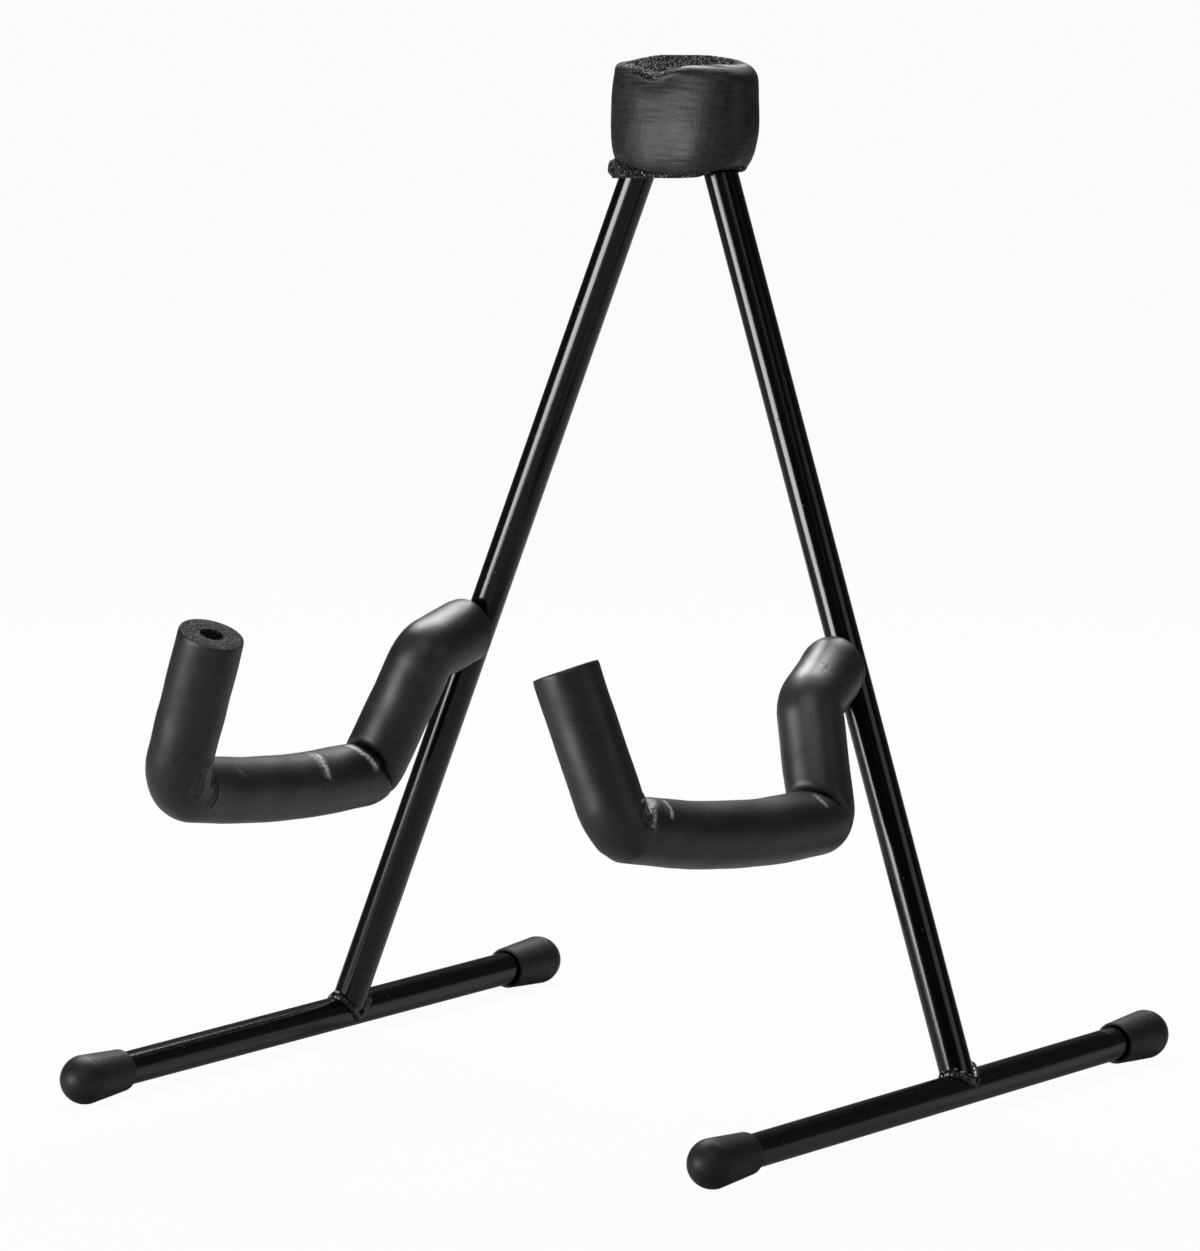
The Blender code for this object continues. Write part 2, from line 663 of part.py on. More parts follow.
def cuff_cavity_rings(half_depth):
    """Rings of the cuff's cavity from its mouth up, wide enough for the open legs."""
    def leg_edge(height):
        """Half width that the open uprights take at a height in the hinge."""
        return PIN_X - height * math.tan(SPREAD) + TUBE_RADIUS / math.cos(SPREAD)

    share = 1 - (BRACKET_HALF_DEPTH / half_depth) ** CUFF_CAVITY_POWER
    bracket_width = BRACKET_HALF_WIDTH / share ** (1 / CUFF_CAVITY_POWER) + CUFF_CLEARANCE
    rings = []
    for height in (CUFF_BOTTOM, -BRACKET_EDGE, 0.0):
        width = max(leg_edge(height) + CUFF_CLEARANCE, bracket_width)
        rings.append((width, half_depth, height, CUFF_CAVITY_POWER))
    ceiling = BRACKET_TOP + GAP
    rings.append((bracket_width, half_depth, ceiling, CUFF_CAVITY_POWER))
    slot_floor = ceiling + CUFF_SLOT_HALF_WIDTH
    rings.append((CUFF_SLOT_HALF_LENGTH, CUFF_SLOT_HALF_WIDTH, slot_floor, CUFF_SLOT_POWER))
    return rings


def cuff_rings():
    """Rings of the whole cuff: up the cavity and the slot, then down the outside."""
    half_depth = RIVET_HALF_GRIP + RIVET_HEAD_HEIGHT + CUFF_CLEARANCE
    rings = cuff_cavity_rings(half_depth)
    outer_width = rings[0][0] + CUFF_SIDE_WALL
    outer_depth = half_depth + CUFF_WALL
    rings.append((CUFF_SLOT_HALF_LENGTH, CUFF_SLOT_HALF_WIDTH, CUFF_TOP - CUFF_TOP_DISH,
                  CUFF_SLOT_POWER))
    shoulder = CUFF_TOP - CUFF_ROUNDING
    heel = CUFF_BOTTOM + CUFF_HEEL_ROUNDING
    edges = arc((-CUFF_ROUNDING, shoulder), CUFF_ROUNDING, 90.0, 0.0, ARC_STEPS)
    edges += arc((-CUFF_HEEL_ROUNDING, heel), CUFF_HEEL_ROUNDING, 0.0, -90.0, ARC_STEPS)
    for inset, height in edges:
        rings.append((outer_width + inset, outer_depth + inset, height, CUFF_OUTER_POWER))
    return [ring_points(*ring) for ring in rings]


def add_cuff(stand):
    """Thick foam cuff pulled over the bracket, closed to a slot at the top."""
    mesh = smooth(loft("top_cuff", cuff_rings()))
    stand.add("top_cuff", mesh, stand.hinge, Matrix(), stand.foam)


def build():
    """Build the whole stand, open as it is used."""
    clear_scene()
    stand = Stand()
    for side, sign in (("left", -1.0), ("right", 1.0)):
        add_upright(stand, side, sign)
        add_foot_tube(stand, side)
        add_foot_weld(stand, side)
        add_rod(stand, side)
        add_rod_weld(stand, side)
        add_sleeve(stand, side)
        add_cap(stand, side, sign, "front", True)
        add_cap(stand, side, sign, "rear", False)
        add_rivet(stand, side, sign)
    add_bracket(stand)
    add_cuff(stand)


build()
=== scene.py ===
"""Looks of a folding ukulele stand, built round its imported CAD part.

Every visible piece is a surface worked out with numpy in the part's own frame, in metres: +X is
the stand's right side, -Y its front and +Z is up. The hinge bracket and the two hook welds keep
their CAD meshes and get a finish, and the other nodes are replaced.
"""

import json
import logging
import math
from dataclasses import dataclass
from enum import Enum
from functools import cached_property

import bpy
import numpy as np
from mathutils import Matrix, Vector


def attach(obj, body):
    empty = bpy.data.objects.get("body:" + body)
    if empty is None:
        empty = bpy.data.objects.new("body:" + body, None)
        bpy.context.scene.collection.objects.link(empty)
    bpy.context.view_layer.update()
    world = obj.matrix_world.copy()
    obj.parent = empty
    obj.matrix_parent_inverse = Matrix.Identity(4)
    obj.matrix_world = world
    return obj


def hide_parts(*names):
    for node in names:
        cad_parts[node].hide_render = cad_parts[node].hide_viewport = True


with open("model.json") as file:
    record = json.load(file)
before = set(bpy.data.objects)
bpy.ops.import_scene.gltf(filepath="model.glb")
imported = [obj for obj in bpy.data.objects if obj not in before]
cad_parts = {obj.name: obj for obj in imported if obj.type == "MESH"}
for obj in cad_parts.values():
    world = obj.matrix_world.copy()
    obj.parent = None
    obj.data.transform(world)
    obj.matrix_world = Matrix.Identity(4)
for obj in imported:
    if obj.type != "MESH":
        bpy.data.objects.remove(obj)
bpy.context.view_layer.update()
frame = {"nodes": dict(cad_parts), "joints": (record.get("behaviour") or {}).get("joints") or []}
log = logging.getLogger("ukulele_stand")

Array = np.ndarray
Triple = tuple[float, float, float]
Table = tuple[tuple[float, float], ...]
Object = bpy.types.Object
Socket = bpy.types.NodeSocket

MM = 0.001
SHARP_EDGE = math.radians(38.0)
FULL_TURN = 2.0 * math.pi
FLAT = np.array([1.0, 1.0, 0.0])
BLACK = (0.0, 0.0, 0.0)
# Colour of the pale lines on the foam: whitish stress lines and scuffs, and a painted highlight.
MARK_AND_HIGHLIGHT_GREY = (0.75, 0.75, 0.75)


class Side(Enum):
    """The two side frames, each with the sign of its X."""

    LEFT = -1
    RIGHT = 1

    @property
    def word(self) -> str:
        """Name of the side, as the nodes use it."""
        return self.name.lower()


class Slot(Enum):
    """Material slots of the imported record."""

    POWDER_COAT = "powder_coat"
    WELD = "coated_weld"
    FOAM = "foam"
    RUBBER = "cap_rubber"
    ZINC = "zinc_plate"


# Shader graph


@dataclass(frozen=True)
class Wire:
    """A value socket that takes part in Python arithmetic; each operator adds a Math node."""

    graph: "Graph"
    socket: Socket

    def math(self, operation: str, first: object, second: object) -> "Wire":
        """Output of a new Math node, each of whose inputs is a wire or a number."""
        return self.graph.wire("ShaderNodeMath", {0: first, 1: second}, operation=operation)

    def __add__(self, other: object) -> "Wire":
        """Sum."""
        return self.math("ADD", self, other)

    def __radd__(self, other: object) -> "Wire":
        """Sum with a number on the left."""
        return self.math("ADD", other, self)

    def __sub__(self, other: object) -> "Wire":
        """Difference."""
        return self.math("SUBTRACT", self, other)

    def __rsub__(self, other: object) -> "Wire":
        """Difference with a number on the left."""
        return self.math("SUBTRACT", other, self)

    def __mul__(self, other: object) -> "Wire":
        """Product."""
        return self.math("MULTIPLY", self, other)


class Graph:
    """Builds the node tree of one material or of the world."""

    def __init__(self, tree: bpy.types.NodeTree) -> None:
        """Start on the tree, emptied."""
        self.tree = tree
        tree.nodes.clear()

    def node(self, kind: str, sockets: dict | None = None, **settings: object) -> bpy.types.Node:
        """Add one node.

        Args:
            kind: Type of the node.
            sockets: Numbers, colours, wires or sockets for its inputs, by name or index.
            settings: Its properties, which are set first.

        Returns:
            The new node.
        """
        made = self.tree.nodes.new(kind)
        for name, setting in settings.items():
            setattr(made, name, setting)
        for name, given in (sockets or {}).items():
            given = given.socket if isinstance(given, Wire) else given
            if isinstance(given, Socket):
                self.tree.links.new(given, made.inputs[name])
            else:
                made.inputs[name].default_value = given
        return made

    def wire(self, kind: str, sockets: dict, output: str | int = 0, **settings: object) -> Wire:
        """Add one node and return one of its outputs as a wire."""
        return Wire(self, self.node(kind, sockets, **settings).outputs[output])

    def place(self) -> Socket:
        """Object coordinates, in metres."""
        return self.node("ShaderNodeTexCoord").outputs["Object"]

    def noise(self, size: float, detail: float = 2.0, stretch: Triple = (1.0, 1.0, 1.0)) -> Wire:
        """Soft random pattern.

        Args:
            size: Size of its grains in metres.
            detail: Number of finer layers.
            stretch: Scale of the coordinates along X, Y and Z.

        Returns:
            A value round 0.5.
        """
        place = self.node("ShaderNodeMapping", {"Vector": self.place(), "Scale": stretch})
        return self.wire("ShaderNodeTexNoise", {"Vector": place.outputs["Vector"],
                                                "Scale": 1.0 / size, "Detail": detail}, "Fac")

    def cells(self, size: float) -> Wire:
        """Distance to the nearest of many random points, for pores and specks."""
        return self.wire("ShaderNodeTexVoronoi", {"Vector": self.place(), "Scale": 1.0 / size},
                         "Distance")

    def remap(self, value: Wire, low: float, high: float, first: float = 0.0,
              last: float = 1.0) -> Wire:
        """Carry a value from low..high to first..last on a smooth step, clamped."""
        ends = {"From Min": low, "From Max": high, "To Min": first, "To Max": last}
        return self.wire("ShaderNodeMapRange", {"Value": value, **ends}, "Result", clamp=True,
                         interpolation_type="SMOOTHSTEP")

    def attribute(self, name: str) -> Wire:
        """Value that the mesh stores at its points."""
        return self.wire("ShaderNodeAttribute", {}, "Fac", attribute_name=name)

    def near(self, point: Triple, reach: float) -> Wire:
        """1 at a point of the stand, falling to 0 at a distance."""
        away = self.wire("ShaderNodeVectorMath", {0: self.place(), 1: point}, "Value",
                         operation="DISTANCE")
        return self.remap(away, 0.25 * reach, reach, 1.0, 0.0)

    def blend(self, share: Wire, first: Triple, second: Triple) -> Socket:
        """Mix of two colours."""
        return self.node("ShaderNodeMix", {0: share, 6: (*first, 1.0), 7: (*second, 1.0)},
                         data_type="RGBA").outputs[2]

    def added(self, first: Socket, second: Socket) -> Socket:
        """Sum of two colours."""
        return self.node("ShaderNodeMix", {0: 1.0, 6: first, 7: second}, data_type="RGBA",
                         blend_type="ADD").outputs[2]

    def bump(self, height: Wire, depth: float) -> Socket:
        """Normal of a relief of the given depth in metres."""
        return self.node("ShaderNodeBump", {"Height": height, "Distance": depth}).outputs["Normal"]

    def seen(self, straight: float, mirrored: float) -> Wire:
        """A strength that light on the object doesn't meet.

        Args:
            straight: Strength that the camera's own rays meet.
            mirrored: Strength that reflected and transmitted rays meet.

        Returns:
            The strength, zero for all other rays.
        """
        path = self.node("ShaderNodeLightPath").outputs
        camera, glossy, through = (Wire(self, path[ray]) for ray in (
            "Is Camera Ray", "Is Glossy Ray", "Is Transmission Ray"))
        return camera * straight + (glossy + through) * mirrored

    def end(self, shader: bpy.types.Node, kind: str = "ShaderNodeOutputMaterial") -> None:
        """End the tree in a shader."""
        self.node(kind, {"Surface": shader.outputs[0]})


# Finishes


@dataclass(frozen=True)
class Finish:
    """A finish: its name, the record's slot, its colour, roughness and specular level."""

    name: str
    slot: Slot
    colour: Triple
    roughness: float
    specular: float = 0.5

    def material(self) -> bpy.types.Material:
        """Material of this finish, made once."""
        known = bpy.data.materials.get(self.name)
        if known:
            return known
        made = bpy.data.materials.new(self.name)
        made.use_nodes = True
        made.diffuse_color = (*self.colour, 1.0)
        graph = Graph(made.node_tree)
        feeds = {"Specular IOR Level": self.specular, **self.sockets(graph)}
        graph.end(graph.node("ShaderNodeBsdfPrincipled", feeds))
        return made

    def tint(self, factor: float) -> Triple:
        """The colour, made lighter or darker."""
        return tuple(min(1.0, factor * channel) for channel in self.colour)

    def sockets(self, graph: Graph) -> dict:
        """What feeds the shader; each finish gives its own."""
        raise NotImplementedError


@dataclass(frozen=True)
class PowderCoat(Finish):
    """Gloss black powder coat: faint orange peel, specks of dust, a rough patch by one cap."""

    peel: float = 0.0011
    peel_depth: float = 0.000006
    speck: float = 0.0052
    speck_colour: Triple = (0.11, 0.105, 0.1)
    wear: float = 0.03
    patch: Triple = (0.1113, 0.0975, 0.0105)
    patch_reach: float = 0.0062
    patch_grain: float = 0.0012

    def sockets(self, graph: Graph) -> dict:
        """Base colour from specks, roughness from wear and the patch, normal from the peel."""
        peel = graph.noise(self.peel, 1.5)
        specks = graph.remap(graph.cells(self.speck), 0.035, 0.06, 1.0, 0.0)
        patch = graph.near(self.patch, self.patch_reach)
        spatter = graph.noise(self.patch_grain, 3.0) * patch
        wear = graph.noise(self.wear, 4.0) - 0.5
        return {
            "Base Color": graph.blend(specks * 0.5, self.colour, self.speck_colour),
            "Roughness": self.roughness + wear * 0.07 + specks * 0.3 + patch * 0.1,
            "Normal": graph.bump(peel + specks * 2.0 + spatter * 60.0, self.peel_depth),
        }


@dataclass(frozen=True)
class WeldCoat(Finish):
    """Rough weld bead under the same black coat."""

    grain: float = 0.0017
    grain_depth: float = 0.00008

    def sockets(self, graph: Graph) -> dict:
        """Lumpy relief, with shinier crests, and colour painted lighter on the crests and darker
        in the hollows.
        """
        crests = graph.noise(self.grain)
        dull, shiny = self.roughness + 0.14, self.roughness - 0.06
        return {
            # Painted highlight on the relief's crests and painted shade in its hollows.
            "Base Color": graph.blend(crests, self.tint(0.7), self.tint(1.5)),
            "Roughness": graph.remap(crests, 0.35, 0.65, dull, shiny),
            "Normal": graph.bump(crests, self.grain_depth),
        }


@dataclass(frozen=True)
class FoamSkin(Finish):
    """Satin skin of closed-cell foam: fine grain, soft mottling, pale lines and a shine. The pale
    lines are whitish stress lines and scuffs, and one painted highlight along a crease lip.

    The mesh gives the pale lines, where the foam creases, and the shine, where a bend stretches
    it.
    """

    grain: float = 0.00042
    grain_depth: float = 0.000018
    dimple: float = 0.0024
    mottle: float = 0.006
    fleck: float = 0.0008
    contrast: float = 0.3
    lined: bool = False
    line: float = 0.0007
    band: float = 0.0030

    def sockets(self, graph: Graph) -> dict:
        """Colour and roughness from mottling and pale lines, one a painted highlight; normal from
        grain and stretch lines.
        """
        grain, mottle = graph.noise(self.grain, 3.0), graph.noise(self.mottle, 3.0)
        patchy = graph.remap(graph.noise(self.fleck, 3.0), 0.34, 0.62, 0.12, 1.0)
        marks_and_highlights, stretch = graph.attribute("mark") * patchy, graph.attribute("stretch")
        relief = grain + graph.noise(self.dimple) * 1.6
        uneven = (mottle - 0.5) * 0.12 + (grain - 0.5) * 0.12
        tone = graph.remap(mottle * 0.6 + grain * 0.4, 0.34, 0.66)
        if self.lined:
            level, steep = (0.12, 0.12, 1.0), (1.0, 1.0, 0.12)
            fine, broad = graph.noise(self.line, 3.0, level), graph.noise(self.band, 2.0, level)
            thread = graph.noise(self.line, 2.0, steep)
            relief = relief + (fine * 4.0 + broad * 1.6 + thread * 3.2)
            tone = tone * 0.3 + graph.remap(fine * 0.6 + thread * 0.4, 0.4, 0.6) * 0.7
        base = graph.blend(tone, self.tint(1.0 - self.contrast), self.tint(1.0 + self.contrast))
        return {
            # Pale lines added to the colour: whitish stress lines and scuffs, and a painted
            # highlight along one crease lip.
            "Base Color": graph.added(base, graph.blend(marks_and_highlights, BLACK, MARK_AND_HIGHLIGHT_GREY)),
            "Roughness": self.roughness + uneven + marks_and_highlights * 0.15 - stretch * 0.07,
            "Coat Weight": stretch,
            "Coat Roughness": self.roughness + 0.02,
            "Normal": graph.bump(relief, self.grain_depth),
        }


@dataclass(frozen=True)
class FoamCut(Finish):
    """Cut foam: open cells, with painted shade in their depths, lighter walls and painted glints.
    """

    cell: float = 0.0005
    depth: float = 0.00022
    sparkle: float = 0.06

    def sockets(self, graph: Graph) -> dict:
        """Two sizes of cells make both the relief and the painted shade in the pores."""
        fine, coarse = graph.cells(self.cell), graph.cells(self.cell * 2.3)
        wall = graph.remap(fine * 0.55 + coarse * 0.45, 0.36, 0.62)
        glint = graph.remap(graph.noise(self.cell * 0.8), 0.55, 0.65) * wall
        # Painted shade: darker where the cells are deep. Painted highlight: glints added on the
        # walls.
        base = graph.blend(wall, self.tint(0.2), self.tint(1.3))
        return {
            "Base Color": graph.added(base, graph.blend(glint, BLACK, (self.sparkle,) * 3)),
            "Roughness": self.roughness - glint * 0.25,
            "Normal": graph.bump(wall, self.depth),
        }


@dataclass(frozen=True)
class CapRubber(Finish):
    """Moulded rubber with a dull, slightly streaky skin."""

    grain: float = 0.0005
    grain_depth: float = 0.00002
    streak: float = 0.0016
    scuff: float = 0.004

    def sockets(self, graph: Graph) -> dict:
        """Streaks along the cap, fine grain and a few pale scuffs."""
        grain = graph.noise(self.grain, 3.0)
        streak = graph.noise(self.streak, 3.0, (1.0, 0.25, 1.0))
        scuff = graph.remap(graph.noise(self.scuff, 5.0), 0.6, 0.74)
        return {
            "Base Color": graph.blend(scuff * 0.4 + streak * 0.3, self.colour, self.tint(2.4)),
            "Roughness": self.roughness + (streak - 0.5) * 0.2 + (grain - 0.5) * 0.1,
            "Normal": graph.bump(grain + streak * 2.0, self.grain_depth),
        }


@dataclass(frozen=True)
class ZincPlate(Finish):
    """Dull zinc plating on the rivets."""

    cloud: float = 0.0012
    cloud_depth: float = 0.00003

    def sockets(self, graph: Graph) -> dict:
        """Faint clouding of the plating."""
        cloud = graph.noise(self.cloud, 3.0)
        shiny, dull = self.roughness - 0.06, self.roughness + 0.1
        return {
            "Base Color": graph.blend(cloud, self.tint(0.75), self.tint(1.1)),
            "Metallic": 1.0,
            "Roughness": graph.remap(cloud, 0.35, 0.65, shiny, dull),
            "Normal": graph.bump(cloud, self.cloud_depth),
        }


POWDER_COAT = PowderCoat("gloss_black_powder_coat", Slot.POWDER_COAT, (0.001, 0.001, 0.001), 0.17,
                         0.38)
WELD_COAT = WeldCoat("coated_weld_bead", Slot.WELD, (0.006, 0.006, 0.006), 0.22)
FOAM_SKIN = FoamSkin("black_foam_skin", Slot.FOAM, (0.0085, 0.0085, 0.0088), 0.45, 0.45)
CUFF_SKIN = FoamSkin("stretched_foam_skin", Slot.FOAM, (0.012, 0.0118, 0.012), 0.46, 0.35,
                     contrast=0.75, lined=True)
FOAM_CUT = FoamCut("cut_foam", Slot.FOAM, (0.022, 0.021, 0.021), 0.85, 0.25)
CUFF_CUT = FoamCut("torn_foam", Slot.FOAM, (0.015, 0.0145, 0.0145), 0.75, 0.2, cell=0.0007,
                   depth=0.0005, sparkle=0.34)
CAP_RUBBER = CapRubber("moulded_black_rubber", Slot.RUBBER, (0.0080, 0.0080, 0.0083), 0.5, 0.28)
ZINC_PLATE = ZincPlate("zinc_plated_steel", Slot.ZINC, (0.55, 0.56, 0.58), 0.33)


# Surfaces


def stacked(*axes: object) -> Array:
    """Points from one array or number for each axis."""
    return np.stack(np.broadcast_arrays(*axes), axis=-1)


def unit(vectors: Array) -> Array:
    """Vectors brought to length one."""
    return vectors / np.linalg.norm(vectors, axis=-1, keepdims=True)


def circle(count: int) -> Array:
    """Angles of a ring."""
    return np.arange(count) * FULL_TURN / count


def wrapped(angle: Array) -> Array:
    """Angles carried to between minus and plus half a turn."""
    return (angle + math.pi) % FULL_TURN - math.pi


def bell(gap: Array, width: float | Array) -> Array:
    """exp(-(gap / width)^2): 1 in the middle and almost 0 two widths away."""
    return np.exp(-(gap / width) ** 2)


def groove(gap: Array, half_width: float | Array) -> Array:
    """Depth between two round lips, 1 - sqrt(1 - t^2): t is 1 on the line and 0 beside it."""
    beside = np.clip(1.0 - gap / half_width, 0.0, 1.0)
    return 1.0 - np.sqrt(1.0 - beside**2)


def smoothstep(low: float, high: float, value: Array) -> Array:
    """0 below low, 1 above high, and 3t^2 - 2t^3 between."""
    t = np.clip((value - low) / (high - low), 0.0, 1.0)
    return t * t * (3.0 - 2.0 * t)


def turned(profile: Array, count: int) -> Array:
    """Rings of a profile (radius, height) turned about Z: (r cos a, r sin a, h)."""
    angle, radius = circle(count)[None, :], profile[:, :1]
    return stacked(radius * np.cos(angle), radius * np.sin(angle), profile[:, 1:])


def lumps(points: Array, size: float, seed: int, waves: int = 18) -> Array:
    """Smooth random field round 0: the sum of cosines of waves in random directions.

    Args:
        points: Places, with the axes last.
        size: Mean wavelength in metres.
        seed: Seed of the random waves.
        waves: Number of waves.

    Returns:
        The field at each place, mostly between -1 and 1.
    """
    draw = np.random.default_rng(seed)
    heading = unit(draw.normal(size=(waves, 3)))
    pitch = FULL_TURN / (size * draw.uniform(0.7, 1.5, waves))
    phase = draw.uniform(0.0, FULL_TURN, waves)
    return np.cos(points @ (heading * pitch[:, None]).T + phase).sum(axis=-1) / math.sqrt(waves)


def spaced(stops: list[tuple[float, ...]], spacing: float) -> Array:
    """Points along a polyline, its corners kept: start + (end - start) i / count on each side.

    Args:
        stops: Corners of the line.
        spacing: Greatest distance between two points.

    Returns:
        The points.
    """
    corners = np.array(stops, dtype=float)
    pieces = [corners[:1]]
    for start, end in zip(corners[:-1], corners[1:]):
        count = max(1, math.ceil(float(np.linalg.norm(end - start)) / spacing))
        pieces.append(start + (end - start) * np.arange(1, count + 1)[:, None] / count)
    return np.concatenate(pieces)


def skin_faces(rows: int, columns: int, closed: bool) -> Array:
    """Quads of a grid whose rows are rings.

    Args:
        rows: Number of rings.
        columns: Number of points in a ring.
        closed: Whether the last ring joins the first.

    Returns:
        Point indices, four for each quad.
    """
    first = np.arange(rows if closed else rows - 1)[:, None]
    column = np.arange(columns)[None, :]
    here, there = first * columns, (first + 1) % rows * columns
    after = (column + 1) % columns
    return stacked(here + column, here + after, there + after, there + column).reshape(-1, 4)


def signed_volume(points: Array, faces: list) -> float:
    """Volume of a closed shell: a sixth of the sum of each triangle's triple product."""
    fans = np.array([(face[0], face[i], face[i + 1]) for face in faces
                     for i in range(1, len(face) - 1)])
    a, b, c = points[fans[:, 0]], points[fans[:, 1]], points[fans[:, 2]]
    return float(np.einsum("ij,ij->i", a, np.cross(b, c)).sum() / 6.0)


def shell(name: str, rings: Array, closed: bool = False) -> Object:
    """Closed object from rings of points.

    Rings that don't join are closed with a fan of triangles round each end's middle. The faces
    are turned outwards by the sign of the shell's volume.

    Args:
        name: Name of the piece.
        rings: Points by ring, by place round the ring, by axis.
        closed: Whether the last ring joins the first.

    Returns:
        The object, at the origin.
    """
    rows, columns, _ = rings.shape
    points = rings.reshape(-1, 3)
    faces = skin_faces(rows, columns, closed).tolist()
    if not closed:
        column, count, last = np.arange(columns), len(points), (rows - 1) * columns
        after = (column + 1) % columns
        points = np.concatenate([points, rings[[0, -1]].mean(axis=1)])
        faces += stacked(after, column, count).tolist()
        faces += stacked(last + column, last + after, count + 1).tolist()
    if signed_volume(points, faces) < 0.0:
        faces = [face[::-1] for face in faces]
    mesh = bpy.data.meshes.new(name)
    mesh.from_pydata(points.tolist(), [], faces)
    mesh.shade_smooth()
    mesh.set_sharp_from_angle(angle=SHARP_EDGE)
    made = bpy.data.objects.new(name, mesh)
    bpy.context.scene.collection.objects.link(made)
    return made


def dress(piece: Object, body: str, node: str, *finishes: Finish, choice: Array | None = None,
          fill: float | None = None) -> None:
    """Finish a piece and tie it to its CAD body and node.

    Args:
        piece: The new piece.
        body: CAD body that it rides on.
        node: CAD node that it stands for.
        finishes: Its finishes, one for each of its material slots in turn.
        choice: Index of the finish of each face.
        fill: How tightly it is padded, if it is foam; not used.
    """
    for finish in finishes:
        piece.data.materials.append(finish.material())
    if choice is not None:
        piece.data.polygons.foreach_set("material_index", choice.astype(np.int32))
    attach(piece, body)
    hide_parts(node)
    log.info("%s: %d faces on %s", piece.name, len(piece.data.polygons), body)


def refinish(node: str, finish: Finish) -> None:
    """Give a finish to a CAD node that keeps its mesh.

    Args:
        node: Name of the CAD node.
        finish: Its new finish.
    """
    materials = frame["nodes"][node].data.materials
    materials.clear()
    materials.append(finish.material())
    log.info("%s: CAD mesh kept", node)


# The stand's shared sizes


@dataclass(frozen=True)
class StandSizes:
    """Sizes that the CAD part and these surfaces share."""

    tube_radius: float = 0.005
    tube_wall: float = 0.0012
    leg_length: float = 0.2992
    spread: float = math.radians(20.13)
    lean: float = math.radians(3.8)
    tube_top_margin: float = 0.0065
    foot_front: float = 0.1394
    foot_rear: float = 0.1109
    foot_height: float = 0.00715
    rod_radius: float = 0.0032

    @property
    def tilt(self) -> float:
        """Angle between a side frame's plane and the upright YZ plane."""
        return math.atan(math.tan(self.spread) / math.cos(self.lean))

    @property
    def upright_lean(self) -> float:
        """Backward lean of an upright in its own side frame."""
        return math.asin(math.cos(self.spread) * math.sin(self.lean))

    @property
    def pin(self) -> Vector:
        """Place of the right rivet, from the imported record."""
        joint = next(j for j in frame["joints"] if j["name"] == "right_leg_fold")
        return Vector(joint["pos_m"])

    @property
    def foot_x(self) -> float:
        """Half the distance between the two foot tubes."""
        return self.pin.x + self.leg_length * math.sin(self.spread)

    @property
    def weld_y(self) -> float:
        """Y of the uprights' feet."""
        return self.pin.y - self.leg_length * math.sin(self.upright_lean)


SIZES = StandSizes()


def leaned(points: Array, angle: float) -> Array:
    """Points (across, back, up) turned about X, so that what stands leans back."""
    across, back, up = np.moveaxis(points, -1, 0)
    cosine, sine = math.cos(angle), math.sin(angle)
    return stacked(across, back * cosine + up * sine, up * cosine - back * sine)


def in_hinge(points: Array) -> Array:
    """Carry points from the leaning hinge's frame into the stand."""
    return leaned(points, SIZES.lean) + np.array([0.0, SIZES.pin.y, SIZES.pin.z])


def in_side_frame(side: Side, points: Array) -> Array:
    """Carry points from a side frame's plane into the stand.

    The plane's origin is where the upright's axis meets the foot tube's. The points are turned
    about Y by the frame's tilt and then moved to the foot.

    Args:
        side: Which side frame.
        points: Points (across, back, up) in the plane.

    Returns:
        The points in the stand's frame.
    """
    angle = -side.value * SIZES.tilt
    across, back, up = np.moveaxis(points, -1, 0)
    return stacked(across * math.cos(angle) + up * math.sin(angle) + side.value * SIZES.foot_x,
                   back + SIZES.weld_y,
                   up * math.cos(angle) - across * math.sin(angle) + SIZES.foot_height)


@dataclass
class SidePart:
    """A part of one side frame."""

    side: Side

    def piece(self, name: str, rings: Array, closed: bool = True) -> Object:
        """Closed object from rings in the side frame's plane."""
        return shell(f"{self.side.word}_{name}", in_side_frame(self.side, rings), closed)

    def dress(self, piece: Object, node: str, *finishes: Finish, **more: object) -> None:
        """Finish a piece and tie it to this side's body and node."""
        dress(piece, f"{self.side.word}_leg", f"{self.side.word}_{node}", *finishes, **more)


# Steel


